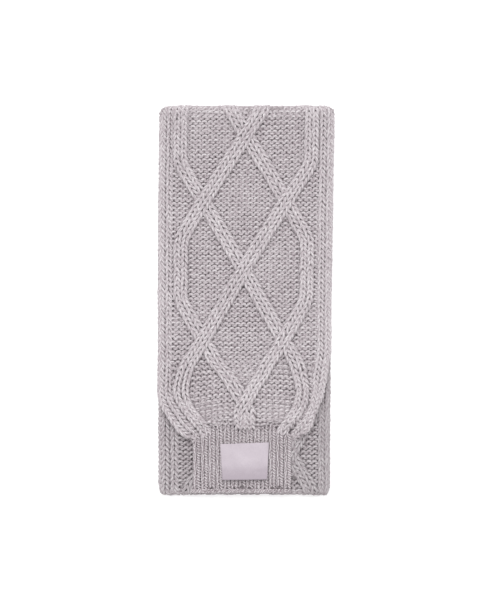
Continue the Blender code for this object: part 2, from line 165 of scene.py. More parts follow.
# How far the middle of a row hangs above its ends, by where the row is along the panel.
Hang = namedtuple("Hang", "s rise")
ROW_HANGS = (
    Hang(s=-0.1250, rise=0.0030),
    Hang(s=-0.0456, rise=-0.0016),
    Hang(s=0.0386, rise=0.0),
    Hang(s=0.1180, rise=-0.0004),
    Hang(s=0.2022, rise=-0.0030),
)

# ---- the lattice of cables -----------------------------------------------------------------------
CABLES = 4
CABLE_SIDE_U = 0.0762           # a cable swings this far to either side of the lattice's middle
CABLE_PERIOD = 0.3273           # length in which a cable crosses from one side to the other
CABLE_STRAIGHT = 0.0357         # half length of a cable's straight run at a side
CABLE_TURN = 0.007              # half length of the rounding between the two
WIDENING_S = (0.05, 0.17)       # between these a lattice widens to its size near the outer fold
Lattice = namedtuple("Lattice", "s middle_u bundled widening drift")
TOP_LATTICE = Lattice(s=0.0362, middle_u=-0.0015, bundled=True, widening=0.035, drift=0.0009)
LOWER_LATTICE = Lattice(s=-0.1009, middle_u=0.0073, bundled=False, widening=0.0, drift=0.0)
UNDER_LATTICE = TOP_LATTICE._replace(bundled=False)
LAST_CROSSING_S = -0.1275       # below this the two middle cables run side by side
BUNDLE_U = 0.0070
BUNDLE_REACH_U = 0.030
BUNDLE_END_S = -0.1528          # where the middle cables end, above the cuff's ribs
GROUND_END_WAVE = 0.006         # the ground ends this unevenly among the tops of the ribs
GROUND_END_PITCH = 0.0107
CABLE_HALF_WIDTH = 0.0086
GROUND_UNDER_CABLE = 0.0026     # how far the ends of the ground's rows run under a cable
GROOVE_WIDTH = 0.0045           # the ground sinks this far from a cable
CROSSING_LIFT = 0.0022          # a cable rises this much over another one
CROSSING_DIP = 0.0045           # and dips this much under it
CROSSING_SLOPES = 0.4           # cables cross fully where their slopes differ by this much
LIFT_REACH = 1.9                # how near the other cable is where the rise starts, in half widths
DIP_REACH = 1.15                # the same for the dip
DIP_RUN = 0.8                   # which is full after this many half widths more

# ---- heights of the yarn's middle above a panel's face -------------------------------------------
GROUND_H = -0.0014
GROOVE_H = -0.0007              # added beside a cable
STRIP_GROOVE = 3.2              # the edge strips sink this many times as far
CABLE_H = 0.0004
CABLE_CROWN = 0.0012            # the middle of a cable stands this much over its sides,
CROWN_REACH = 1.05              # which lie this many half widths away
STRIP_H = -0.0019
FOLD_H = -0.0014                # everything is pressed to about this height where the panel folds
FOLD_RELIEF = 0.10
FOLD_LOOP_RELIEF = 0.20         # how much of their own height the loops keep there
EDGE_LOOP_RELIEF = 0.20         # the same at a panel's side edges
FOLD_SHELL_H = 0.0125           # before the pressing, so that the cloth fills the fold between the loops
FoldFill = namedtuple("FoldFill", "start rise stop fall")       # how far into the fold, and before its end
OUTER_FILL = FoldFill(start=0.006, rise=0.010, stop=0.002, fall=0.008)
END_FILL = FoldFill(start=0.003, rise=0.005, stop=0.001, fall=0.005)
SHELL_H = -0.0031               # the thin cloth under the loops
SHELL_EDGE_RISE = 0.0023        # it rises at a panel's side edges,
SHELL_STRIP_RISE = 0.0010       # under the edge strips,
SHELL_CABLE_RISE = 0.0022       # and under the cables,
SHELL_CABLE_REACH = 1.3         # to this many half widths from a cable's middle
SHELL_EASE = 0.004              # in this length
SHELL_THICKNESS = 0.0010
SHELL_REACH = HALF_WIDTH + 0.57 * EDGE_ROLL     # it ends this far round the side edge
CORNER_Y = 0.2225               # rows of the edge strips past this line, towards a fold,
CORNER_TRIM = 0.0030            # stop this far short of the side edge
SHELL_STEP = 0.0038
FRONT_SHELL_COLUMNS = 57
LOWER_SHELL_COLUMNS = 41
LOWER_SHELL_STEP = 0.7 * SHELL_STEP

# ---- gauge -----------------------------------------------------------------------------------------
ROW = 0.0057
# Two slow waves make the rows uneven: their height, how fast they turn each way, and their shift.
Wave = namedtuple("Wave", "height across along shift")
ROW_WAVES = (Wave(0.0005, 71.0, 23.0, 0.0), Wave(0.0004, 37.0, -61.0, 1.3))
LINE_SAMPLES = 4000             # points at which a line along the rows is measured
GROUND_STITCH = 0.0070
HALFWAY_S = 6 * ROW             # the front panel's ground is made in two parts, which meet here
GROUND_LINE_U = 0.030           # rows are evenly spaced along this line
CABLE_STITCH = 0.0085
STRIP_STITCH = 0.0086
INNER_U = HALF_WIDTH - 2.0 * STRIP_STITCH       # the ground lies between the edge strips, which start here
GROUND_OVERLAP = 0.001          # and reaches this far in under them
CURL_U = HALF_WIDTH + 0.0055    # the edge strips curl round the side edge to here
FRONT_SPAN = (CUFF_LINE_S - 0.0055, UNDERSIDE_S + 0.004)        # where the rows of each panel lie
LOWER_SPAN = (LOWER_START_S, LOWEST_S - 0.003)
UNDER_SPAN = (UNDERSIDE_S + 0.004, UNDERSIDE_END_S - ROW)
INNER_SPAN = (SECOND_LAYER_END_Y, OUTER_FOLD_Y + PI * LAYER + OUTER_FOLD_Y - LOWER_START_S)
FRONT_SHELL_SPAN = (CUFF_LINE_S - 0.003, UNDERSIDE_S + 0.015)
LOWER_SHELL_SPAN = (LOWER_START_S, LOWEST_S - 0.015)
HIDDEN_SIDE_U = HALF_WIDTH - EDGE_ROLL - 0.0005  # the hidden layers show only from here outward
HIDDEN_CURL_U = HALF_WIDTH + 0.0062
HIDDEN_STITCH = 0.0096
HIDDEN_MEET = 0.0010            # their columns meet this far in from there
CORNERS_SHOW_S = -0.100         # the lower panel shows below this line, at its two corners
CORNER_LEFT_U = -0.055          # left of this place
CORNER_RIGHT_U = 0.045          # and right of this one,
BELOW_CUFF_S = -0.216           # and all across below the cuff
LOWER_CABLE_END_S = END_FOLD_Y - 0.0095
LowerStrip = namedtuple("LowerStrip", "width meets stitch")     # from the panel's side edge inward
LOWER_LEFT_STRIP = LowerStrip(width=0.0250, meets=0.0136, stitch=0.0112)
LOWER_RIGHT_STRIP = LowerStrip(width=0.0142, meets=0.0062, stitch=0.0080)
POINTS = 14                     # points of a loop
SIDES = 7                       # sides of a strand
FAR_POINTS = 8                  # the same where only the underside shows
FAR_SIDES = 5
EDGE_SIDES = 6                  # and at the edges of the hidden layers
FLOOR_GAP = 0.0001              # the lowest loops are pressed flat this high over the floor
YARN_SHIFT = 0.6180             # the yarn's twist starts this much later in each row, in metres
NOISE_REACH = 2.5               # brings the usual swing of the noise, 0.4 of its range, to the unevenness

# ---- the cuffs -------------------------------------------------------------------------------------
RIBS = 13
CUFF_ROW = 0.0040
RIB_STITCH = 0.0081
RIB_START = (-0.042, 0.014)     # where the ribs begin, and how unevenly, in shares of the cuff's length
RIB_SHIFT = 2.4                 # their unevenness goes on by this angle from rib to rib
RIB_RISE = 0.06                 # over this share they come up out of the panel
RIB_DEPTH = 0.0022              # from this deep
RIB_H = -0.0008
UNDER_CUFF_START = 0.3          # the under cuff's ribs show from here down
UNDER_CUFF_RIBS = 2             # and only so many of them
RIB_END = 0.930
CHAIN_S = 0.963                 # the chain that binds the edge off
CUFF_CLOTH_END = 0.985
CUFF_CLOTH_ROWS = 16
CHAIN_STITCH = 0.0040
CHAIN_H = 0.0016
CHAIN_START = 0.1               # of a rib's width
CUFF_CLOTH_H = -0.0010
CUFF_CLOTH_THICKNESS = 0.0012
CUFF_BARE = (0.94, 0.03)        # the cuff's cloth is bare from here on, and fully so after this share more
Cuff = namedtuple("Cuff", "left right top_y left_y right_y bottom_y face rib_rise sag")
FRONT_CUFF = Cuff(left=-0.0634, right=0.0533, top_y=-0.1548, left_y=-0.1711, right_y=-0.1678,
                  bottom_y=-0.2298, face=0.0190, rib_rise=0.0018, sag=0.0027)
UNDER_CUFF = Cuff(left=-0.0585, right=0.0592, top_y=-0.1365, left_y=-0.1365, right_y=-0.1365,
                  bottom_y=-0.2105, face=0.0150, rib_rise=0.0010, sag=0.0)
CUFF_EDGE_DROP = 0.0022
CUFF_EDGE_POWER = 14            # only the last of its width drops at the side edges
CUFF_PAST_EDGE = 1.1
SAG_START = 0.75
CUFF_SIDE_POWER = 5.0

# ---- the label -------------------------------------------------------------------------------------
Corner = namedtuple("Corner", "x y")
LABEL_TOP_LEFT = Corner(-0.0312, -0.1709)
LABEL_TOP_RIGHT = Corner(0.0271, -0.1691)
LABEL_BOTTOM_LEFT = Corner(-0.0286, -0.2137)
LABEL_BOTTOM_RIGHT = Corner(0.0250, -0.2131)
LABEL_THICKNESS = 0.0006
LABEL_FACE = 0.0220
LABEL_SHADE_Y = -0.1900           # the satin is painted darker from here down to its bottom edge, as shade
LABEL_BULGE = 0.0008            # its middle stands this much over its sides
LABEL_WAVE = 0.0003             # it waves by this much,
LABEL_WAVES = 1.5               # this many times across,
WAVE_SLANT = 3.0                # and aslant
LABEL_CREASE = 0.0009           # a soft crease runs across it,
CREASE_S = 0.80                 # at this share of its length
CREASE_WIDTH = 0.09
CREASE_MEAN = 0.6               # and is deeper at the sides than in the middle
CREASE_SWING = 0.4
LABEL_COLUMNS = 41
LABEL_ROWS = 33
LABEL_LIFT = 0.0030             # its lower edge lifts off the ribs

# ---- finishes --------------------------------------------------------------------------------------
Yarn = namedtuple("Yarn", "light shade depth pitch ply_shade")
PANEL_YARN = Yarn(light="yarn_light", shade="yarn_shade", depth=0.0006, pitch=0.013, ply_shade=0.4)
CUFF_YARN = Yarn(light="cuff_light", shade="cuff_shade", depth=0.0007, pitch=0.0036, ply_shade=1.1)
PLIES = 3.0
LOWER_SHADE_SHARE = 0.86              # darker copies of the same yarn, as painted shade where it lies deeper: on the left strip,
SUNKEN_SHADE_SHARE = 0.84             # on the ground,
SHADED_SHARE = 0.77             # on the cables and the right strip,
UNDER_CUFF_SHADE_SHARE = 0.72         # and on the cuff beneath
FIBRE_SCALE = 1400.0            # fine fibres
FIBRE_HEIGHT = 0.45
DRIFT_SCALE = 28.0              # slow changes of tone along the scarf
DRIFT_SHARE = 0.35
STREAK_AROUND = 0.22            # the melange's streaks follow the plies
STREAK_ALONG = 300.0
STREAK_SHARE = 1.8
SUNK_POWER = 1.5                # yarn that lies deep is painted darker, as shade
SUNK_SHADE_COLOUR = (0.13, 0.085, 0.105)
PALE_CLOTH = 0.9                # the cloth's brightness where it is bare, as a share,
HIDDEN_CLOTH_SHADE = 0.50             # as painted shade in the gaps between the loops,
CUFF_CLOTH_SHADE = 0.8                # and on the cuffs beside the panels, darker there as painted shade in the grooves between the ribs
BARE_VALLEY_SHADE = 0.55              # where it is bare it is painted darker by this share of the way between its rows, as shade
FUZZ_SCALE = 500.0              # its short fibres
FUZZ_HEIGHT = 0.4
BARE_WAVE = 0.22                # its rows wave by this share of their height
BARE_WANDER = 0.5
BARE_ROUNDNESS = 0.6
FLOAT_SCALE = 420.0             # the satin's floats, and the threads that cross them
WARP_SCALE = 620.0
WARP_HEIGHT = 0.6
CLOUD_SCALE = 55.0              # its slow changes of tone, and its fine ones
GRAIN_SCALE = 700.0
WEAVE_TONE = 0.15               # how much each of them adds to its tone
CLOUD_TONE = 0.7
GRAIN_TONE = 0.6
BOTTOM_SHADE_TONE = -0.9                 # and what the painted shade at its bottom takes off

# ---- the stage -------------------------------------------------------------------------------------
FLOOR_HALF = 3.0
FLOOR_GLOW = 0.22               # the floor is a softly lit white table
FLOOR_PALE = 0.985              # its tone changes slowly by this share
SKY = 0.75
WINDOW = 1.45                   # the sun's strength, and how wide it is
WINDOW_SPREAD = math.radians(34)
WINDOW_TURN = (math.radians(-32), math.radians(-4), 0.0)
WINDOW_PLACE = (-0.1, 1.1, 1.75)
FILL = 9.0                      # a wide soft light overhead
FILL_SIZE = 1.8
FILL_TURN = (0.0, math.radians(-3), 0.0)
FILL_PLACE = (-0.1, -0.2, 2.2)
CAMERA_DISTANCE = 2.2
CAMERA_PLACE = (0.00446, 0.00048)
SEEN_LENGTH = 0.714
SENSOR = 36.0

# A kind of loop, in shares of the row's height or of the stitch's width, and in metres.
Loop = namedtuple("Loop", "reach swing lean depth lift radius unevenness")
PURL = Loop(reach=0.81, swing=0.200, lean=0.03, depth=0.0013, lift=0.0008, radius=0.00170, unevenness=0.0007)
KNIT = Loop(reach=-1.00, swing=0.252, lean=0.06, depth=-0.0030, lift=-0.0003, radius=0.00183,
            unevenness=0.0012)
STRIP = Loop(reach=-0.98, swing=0.255, lean=0.12, depth=-0.0027, lift=-0.0003, radius=0.00170,
             unevenness=0.0009)
LOWER_KNIT = Loop(reach=-0.98, swing=0.260, lean=0.08, depth=-0.0023, lift=-0.0003, radius=0.00180,
                  unevenness=0.0008)
LOWER_PURL = Loop(reach=0.78, swing=0.200, lean=0.08, depth=0.0014, lift=0.0009, radius=0.00165,
                  unevenness=0.0007)
RIB = Loop(reach=-0.95, swing=0.255, lean=0.0, depth=-0.0015, lift=0.0, radius=0.00150, unevenness=0.0006)
CHAIN = Loop(reach=0.95, swing=0.200, lean=0.0, depth=-0.0006, lift=0.0, radius=0.00150, unevenness=0.0003)


# ---- small helpers ---------------------------------------------------------------------------------
def lerp(a, b, t):
    return a + (b - a) * t


def smooth(t):
    t = np.clip(t, 0.0, 1.0)
    return t * t * (3.0 - 2.0 * t)


def table(rows, key, value, at):
    """A column of a table read at the places given, with its rows in rising order of key."""
    return np.interp(at, [getattr(row, key) for row in rows], [getattr(row, value) for row in rows])


def edges_at(edges, y):
    """A panel's left and right edge at the places given."""
    return table(edges, "y", "left", y), table(edges, "y", "right", y)


def scaled(colour, share):
    return tuple(share * channel for channel in colour)


def press(h, turn):
    """Heights over a face, nearly level where a fold presses them."""
    return lerp(h, FOLD_H + FOLD_RELIEF * (h - FOLD_H), smooth(turn / PRESSED_TURN))


def fills(into, left, fill):
    """1 where the cloth fills a fold, by the lengths into the fold and left of it."""
    return smooth((into - fill.start) / fill.rise) * smooth((left - fill.stop) / fill.fall)


def corner_inset(y, end_y, radius):
    into = np.clip(radius - np.abs(end_y - y), 0.0, radius)
    return radius - np.sqrt(radius * radius - into * into)


def roll(u, inset):
    """Share across a panel, and the turn and drop of its side edge, for a place across it.

    Past the flat part the place follows the rounded edge, first outward and then underneath.
    """
    from_edge = HALF_WIDTH - np.abs(u)
    angle = np.clip((EDGE_ROLL - from_edge) / EDGE_ROLL, 0.0, PI)
    under = np.maximum((EDGE_ROLL - from_edge) - PI * EDGE_ROLL, 0.0)
    inward = np.where(angle > 0.0, EDGE_ROLL * (1.0 - np.sin(angle)) + under, from_edge) + inset
    share = (np.sign(u) * (HALF_WIDTH - inward) + HALF_WIDTH) / (2.0 * HALF_WIDTH)
    return share, angle, EDGE_ROLL * (1.0 - np.cos(angle))


def assemble(u, x, y, z, angle, drop, face_y, face_z, h):
    """A place on a panel from its face's place and normal, the turn of its edge and its height."""
    out = h * np.cos(angle) - drop
    side = h * np.sin(angle) * np.sign(u)
    return np.stack([x + side, y + out * face_y, z + out * face_z], axis=-1)


def at_edge(u):
    """1 at a panel's side edges, 0 a little way in."""
    return smooth((np.abs(u) - HALF_WIDTH + SHELL_EASE) / SHELL_EASE)


def waviness(u, s):
    """Slow unevenness of the rows, as hand knitting has it."""
    return sum(wave.height * np.sin(u * wave.across + s * wave.along + wave.shift) for wave in ROW_WAVES)


# ---- surfaces --------------------------------------------------------------------------------------
def knot_weights(knots, at):
    """How much each knot's value counts at the places given, for a smooth curve through them."""
    knots = np.asarray(knots, float)
    values = np.eye(len(knots))
    slopes = np.gradient(values, knots, axis=0)
    inside = np.clip(at, knots[0], knots[-1])
    k = np.clip(np.searchsorted(knots, inside) - 1, 0, len(knots) - 2)
    step = knots[k + 1] - knots[k]
    t = ((inside - knots[k]) / step)[..., None]
    step = step[..., None]
    curve = (1.0 + 2.0 * t) * (1.0 - t) ** 2 * values[k] + t * (1.0 - t) ** 2 * step * slopes[k]
    curve = curve + t * t * (3.0 - 2.0 * t) * values[k + 1] + t * t * (t - 1.0) * step * slopes[k + 1]
    past = (at - inside)[..., None]
    return curve + past * np.where(past < 0.0, slopes[0], slopes[-1])


def row_hang(u, s):
    return table(ROW_HANGS, "s", "rise", s) * (1.0 - (u / HALF_WIDTH) ** 2)


def gather_grid():
    """The gathered rows and the flat ones that join them: places along, and x, y and height."""
    u = np.array(GATHER_U)
    share = (u + HALF_WIDTH) / (2.0 * HALF_WIDTH)
    rows = [(row.s, row.xs, row.ys, row.tops) for row in GATHER_ROWS]
    for s in GATHER_JOINS:
        y = s + row_hang(u, np.full(len(u), s))
        x = lerp(*edges_at(FRONT_EDGES, y), share)
        rows.append((s, x, y, np.full(len(u), 4.0 * LAYER)))
    return [np.array(column, float) for column in zip(*rows)]


GRID_S, GRID_X, GRID_Y, GRID_Z = gather_grid()


def gathered_place(u, s):
    """x, y and the face's height of places on the gathered part, and which way is outward there."""
    along = knot_weights(GRID_S, s)
    reach = 0.001
    near = knot_weights(GATHER_U, u)
    x, y, z = (np.einsum("nr,rc,nc->n", along, grid, near) for grid in (GRID_X, GRID_Y, GRID_Z))
    apart = knot_weights(GATHER_U, u + reach) - knot_weights(GATHER_U, u - reach)
    out_x, out_y = (np.einsum("nr,rc,nc->n", along, grid, apart) for grid in (GRID_X, GRID_Y))
    length = np.hypot(out_x, out_y)
    return x, y, z, out_x / length, out_y / length


def front_place(u, s, h):
    """The long panel: u across it, s along it from the cuff round the outer fold, h out of it."""
    u, s, h = np.broadcast_arrays(np.asarray(u, float), s, h)
    h = h - END_SINK * smooth((END_SINK_S - s) / (END_SINK_S - CUFF_LINE_S))
    hung = s + row_hang(np.clip(u, -HALF_WIDTH, HALF_WIDTH), s)
    turn = np.clip((hung - OUTER_FOLD_Y) / OUTER_FOLD_RADIUS, 0.0, PI)
    under = np.maximum(hung - UNDERSIDE_S, 0.0)
    y = np.minimum(hung, OUTER_FOLD_Y) + OUTER_FOLD_RADIUS * np.sin(turn) - under
    z = OUTER_FOLD_RADIUS * (1.0 + np.cos(turn))
    h = press(h, turn)
    share, angle, drop = roll(u, corner_inset(y, HALF_LENGTH, OUTER_FOLD_CORNER))
    hidden = smooth(under / HIDDEN_RUN)
    left, right = (lerp(a, b, hidden) for a, b in zip(edges_at(FRONT_EDGES, y), edges_at(HIDDEN_EDGES, y)))
    x = lerp(left, right, share)
    flat = assemble(u, x, y, z, angle, drop, np.sin(turn), np.cos(turn), h)
    gathered = s < GATHER_TOP_S
    if not np.any(gathered):
        return flat
    place = (2.0 * share[gathered] - 1.0) * HALF_WIDTH
    x, y, z, out_x, out_y = gathered_place(place, s[gathered])
    side = h[gathered] * np.sin(angle[gathered]) * np.sign(u[gathered])
    z = z + h[gathered] * np.cos(angle[gathered]) - drop[gathered]
    flat[gathered] = np.stack([x + side * out_x, y + side * out_y, z], axis=-1)
    return flat


def lower_place(u, s, h):
    """The panel that shows at the two corners, with s running down to and round the end fold."""
    u, s, h = np.broadcast_arrays(np.asarray(u, float), s, h)
    turn = np.clip((END_FOLD_Y - s) / END_FOLD_RADIUS, 0.0, PI)
    under = np.maximum(LOWEST_S - s, 0.0)
    y = np.maximum(s, END_FOLD_Y) - END_FOLD_RADIUS * np.sin(turn) + under
    z = END_FOLD_RADIUS * (1.0 + np.cos(turn))
    share, angle, drop = roll(u, corner_inset(y, -HALF_LENGTH, END_FOLD_CORNER))
    x = lerp(*edges_at(LOWER_EDGES, y), share)
    return assemble(u, x, y, z, angle, drop, -np.sin(turn), np.cos(turn), press(h, turn))


def inner_place(u, s, h):
    """Edges of the second and third layer: s along the second, round the inner fold and back."""
    u, s, h = np.broadcast_arrays(np.asarray(u, float), s, h)
    turn = np.clip((s - OUTER_FOLD_Y) / LAYER, 0.0, PI)
    back = np.maximum(s - OUTER_FOLD_Y - PI * LAYER, 0.0)
    y = np.minimum(s, OUTER_FOLD_Y) + LAYER * np.sin(turn) - back
    z = 2.0 * LAYER + LAYER * np.cos(turn)
    share, angle, drop = roll(u, INNER_FOLD_INSET)
    below = smooth(turn / PI)
    left, right = edges_at(FRONT_EDGES, y)
    hidden_left, hidden_right = edges_at(HIDDEN_EDGES, y)
    left = lerp(left + SECOND_LAYER_INSET, hidden_left, below)
    right = lerp(right - SECOND_LAYER_INSET, hidden_right, below)
    x = lerp(left, right, share)
    return assemble(u, x, y, z, angle, drop, np.sin(turn), np.cos(turn), h)


def cuff_surface(cuff):
    """The face of a cuff: u from 0 to 1 across it, s from 0 at its top to 1 at its bottom edge."""
    def place(u, s, h):
        u, s, h = np.broadcast_arrays(np.asarray(u, float), s, h)
        side = np.abs(2.0 * u - 1.0) ** CUFF_SIDE_POWER
        end_y = np.where(u < 0.5, cuff.left_y, cuff.right_y)
        y = lerp(lerp(cuff.top_y, end_y, side), cuff.bottom_y, s)
        x = lerp(cuff.left, cuff.right, u)
        fall = CUFF_EDGE_DROP * np.clip(np.abs(2.0 * u - 1.0), 0.0, CUFF_PAST_EDGE) ** CUFF_EDGE_POWER
        fall = fall + cuff.sag * smooth((s - SAG_START) / (1.0 - SAG_START))
        ribs = 0.5 - 0.5 * np.cos(TURN * RIBS * u)
        return np.stack([x, y, cuff.face + cuff.rib_rise * ribs - fall + h], axis=-1)
    return place


# ---- the lattice -----------------------------------------------------------------------------------
def sharp_place(s, phase_s):
    """A cable's distance from the lattice's middle, and 1 where it runs up to the right, else -1."""
    along = (s - phase_s + CABLE_PERIOD) % (2.0 * CABLE_PERIOD) - CABLE_PERIOD
    share = (np.abs(along) - CABLE_STRAIGHT) / (CABLE_PERIOD - 2.0 * CABLE_STRAIGHT)
    return CABLE_SIDE_U * (2.0 * np.clip(share, 0.0, 1.0) - 1.0), np.sign(along)


def cable_middle(s, index, lattice):
    """Where a cable's middle is across the panel, with rounded turns."""
    phase = lattice.s + index * CABLE_PERIOD / 2.0
    spread = np.linspace(-CABLE_TURN, CABLE_TURN, 7)
    place = np.mean([sharp_place(s + step, phase)[0] for step in spread], axis=0)
    if lattice.bundled:
        close = np.clip(place, -BUNDLE_U, BUNDLE_U)
        middle = np.abs(place) < 0.5 * CABLE_SIDE_U
        place = np.where((s < LAST_CROSSING_S) & middle, close, place)
    wider = smooth((s - WIDENING_S[0]) / (WIDENING_S[1] - WIDENING_S[0]))
    return lattice.middle_u + lattice.drift * wider + place * (1.0 + lattice.widening * wider)


def cable_slope(s, index, lattice):
    step = 0.0015
    ahead = cable_middle(s + step, index, lattice)
    return (ahead - cable_middle(s - step, index, lattice)) / (2.0 * step)


def cable_distance(u, s, lattice):
    """Distance to the nearest cable's middle, measured square to it."""
    nearest = np.full(np.shape(u), 1.0)
    for index in range(CABLES):
        stretch = np.hypot(1.0, cable_slope(s, index, lattice))
        nearest = np.minimum(nearest, np.abs(u - cable_middle(s, index, lattice)) / stretch)
    return nearest


def crossing_height(u, s, index, lattice):
    """How far a cable rises over the others or dips under them, at places on it."""
    height = np.zeros(np.shape(u))
    own = cable_slope(s, index, lattice)
    for other in range(CABLES):
        if other == index:
            continue
        slope = cable_slope(s, other, lattice)
        far = np.abs(u - cable_middle(s, other, lattice)) / np.hypot(1.0, slope) / CABLE_HALF_WIDTH
        parted = smooth(np.abs(own - slope) / CROSSING_SLOPES)
        over = CROSSING_LIFT * smooth((LIFT_REACH - far) / LIFT_REACH)
        under = -CROSSING_DIP * smooth((DIP_REACH - far) / DIP_RUN)
        height = height + parted * np.where(own > slope, over, under)
    return height


# ---- guide lines -----------------------------------------------------------------------------------
GUIDE_NAMES = ("turn", "course", "wale", "out", "bend", "start")


class Guides:
    """Lines that the loops are laid along, with the local directions of the knitting."""

    def __init__(self):
        self.lines = []

    def add(self, place, u, s, h, turn, course, wale, relief=1.0, true_course=False, true_wale=True):
        """One line: its places on a surface, and the surface's directions along row and column.

        A true direction keeps the loops' own size where the surface is gathered or stretched.
        The relief is how much of their height the loops keep.
        """
        u, s, h, turn = (np.asarray(a, float) * np.ones(len(turn)) for a in (u, s, h, turn))
        course = np.asarray(course, float) * np.ones((len(turn), 2))
        wale = np.asarray(wale, float) * np.ones((len(turn), 2))
        point = place(u, s, h)
        near = 0.0002
        reach = 0.0025

        def moved(way, far):
            return place(u + way[:, 0] * far, s + way[:, 1] * far, h)

        along = (moved(course, near) - moved(course, -near)) / (2.0 * near)
        up = (moved(wale, near) - moved(wale, -near)) / (2.0 * near)
        out = np.cross(along, up)
        out /= np.linalg.norm(out, axis=1, keepdims=True)
        pressed = np.linalg.norm(place(u, s, h + near) - point, axis=1) / near
        kept = relief * lerp(FOLD_LOOP_RELIEF, 1.0, np.clip(pressed, 0.0, 1.0))
        if true_course:
            along /= np.linalg.norm(along, axis=1, keepdims=True)
        if true_wale:
            up *= np.linalg.norm(wale, axis=1, keepdims=True) / np.linalg.norm(up, axis=1, keepdims=True)
        bends = []
        for way in (course, wale):
            second = (moved(way, reach) - 2.0 * point + moved(way, -reach)) / reach ** 2
            bends.append(np.sum(second * out, axis=1) / kept)
        bend = np.stack([bends[0], bends[1], np.zeros(len(turn))], axis=1)
        start = np.full(len(turn), (len(self.lines) * YARN_SHIFT) % 1.0)
        self.lines.append((point, turn, along, up, out * kept[:, None], bend, start))

    def mesh(self, name):
        """The guide lines as loose edges, with their directions as attributes."""
        columns = [np.concatenate(column) for column in zip(*self.lines)]
        counts = [len(line[0]) for line in self.lines]
        starts = np.cumsum([0] + counts[:-1])
        edges = np.concatenate([
            np.stack([np.arange(n - 1), np.arange(1, n)], axis=1) + start
            for n, start in zip(counts, starts)
        ])
        data = bpy.data.meshes.new(name)
        data.vertices.add(len(columns[0]))
        data.vertices.foreach_set("co", columns[0].astype(np.float32).ravel())
        data.edges.add(len(edges))
        data.edges.foreach_set("vertices", edges.astype(np.int32).ravel())
        for label, column in zip(GUIDE_NAMES, columns[1:]):
            kind = "FLOAT" if column.ndim == 1 else "FLOAT_VECTOR"
            layer = data.attributes.new(label, kind, "POINT")
            field = "value" if column.ndim == 1 else "vector"
            layer.data.foreach_set(field, column.astype(np.float32).ravel())
        return data


def split_runs(keep, shortest):
    """The stretches of neighbouring points that are kept, as slices."""
    edges = np.flatnonzero(np.diff(np.concatenate([[0], keep.astype(int), [0]])))
    return [slice(a, b) for a, b in zip(edges[::2], edges[1::2]) if b - a >= shortest]


# ---- node trees ------------------------------------------------------------------------------------
def add_node(tree, kind, values=None, **settings):
    """A node with its settings, and its inputs linked or set."""
    node = tree.nodes.new(kind)
    for name, value in settings.items():
        setattr(node, name, value)
    for key, value in (values or {}).items():
        if isinstance(value, bpy.types.NodeSocket):
            tree.links.new(value, node.inputs[key])
        else:
            node.inputs[key].default_value = value
    return node


def calc(tree, operation, a, b=0.0, c=0.5):
    return add_node(tree, "ShaderNodeMath", {0: a, 1: b, 2: c}, operation=operation).outputs[0]


def scale_vector(tree, vector, factor):
    node = add_node(tree, "ShaderNodeVectorMath", {0: vector, "Scale": factor}, operation="SCALE")
    return node.outputs[0]


def add_vectors(tree, a, b):
    return add_node(tree, "ShaderNodeVectorMath", {0: a, 1: b}, operation="ADD").outputs[0]


def noise(tree, vector, scale, detail=2.0):
    values = {"Vector": vector, "Scale": scale, "Detail": detail}
    return add_node(tree, "ShaderNodeTexNoise", values).outputs["Fac"]


def swing(tree, value, share):
    """A value between 0 and 1 as a change to either side of nothing."""
    return calc(tree, "MULTIPLY", calc(tree, "SUBTRACT", value, 0.5), share)


def mix(tree, share, low, high):
    """One colour or the other, each as a socket or as its three channels."""
    low, high = (colour if isinstance(colour, bpy.types.NodeSocket) else (*colour, 1.0)
                 for colour in (low, high))
    values = {"Factor": share, 6: low, 7: high}
    return add_node(tree, "ShaderNodeMix", values, data_type="RGBA").outputs[2]


def attribute(tree, name, output="Fac"):
    return add_node(tree, "ShaderNodeAttribute", attribute_name=name).outputs[output]


def object_place(tree):
    return tree.nodes.new("ShaderNodeTexCoord").outputs["Object"]


def named(tree, name, kind="FLOAT"):
    node = add_node(tree, "GeometryNodeInputNamedAttribute", data_type=kind)
    node.inputs["Name"].default_value = name
    return node.outputs["Attribute"]


LOOP_INPUTS = (
    ("Guides", "NodeSocketGeometry", None),
    ("Swing", "NodeSocketFloat", 0.001),
    ("Reach", "NodeSocketFloat", 0.004),
    ("Lean", "NodeSocketFloat", 0.0),
    ("Depth", "NodeSocketFloat", 0.001),
    ("Lift", "NodeSocketFloat", 0.0),
    ("Unevenness", "NodeSocketFloat", 0.0005),
    ("Unevenness scale", "NodeSocketFloat", 150.0),
    ("Yarn radius", "NodeSocketFloat", 0.0018),
    ("Sides", "NodeSocketInt", 6),
    ("Material", "NodeSocketMaterial", None),
)


def new_tree(name, kind, inputs, outputs):
    """A node tree with named inputs and outputs, and its input and output nodes."""
    tree = bpy.data.node_groups.new(name, kind)
    for label, socket, default in inputs:
        made = tree.interface.new_socket(label, in_out="INPUT", socket_type=socket)
        if default is not None:
            made.default_value = default
    for label, socket in outputs:
        tree.interface.new_socket(label, in_out="OUTPUT", socket_type=socket)
    return tree, tree.nodes.new("NodeGroupInput").outputs, tree.nodes.new("NodeGroupOutput").inputs


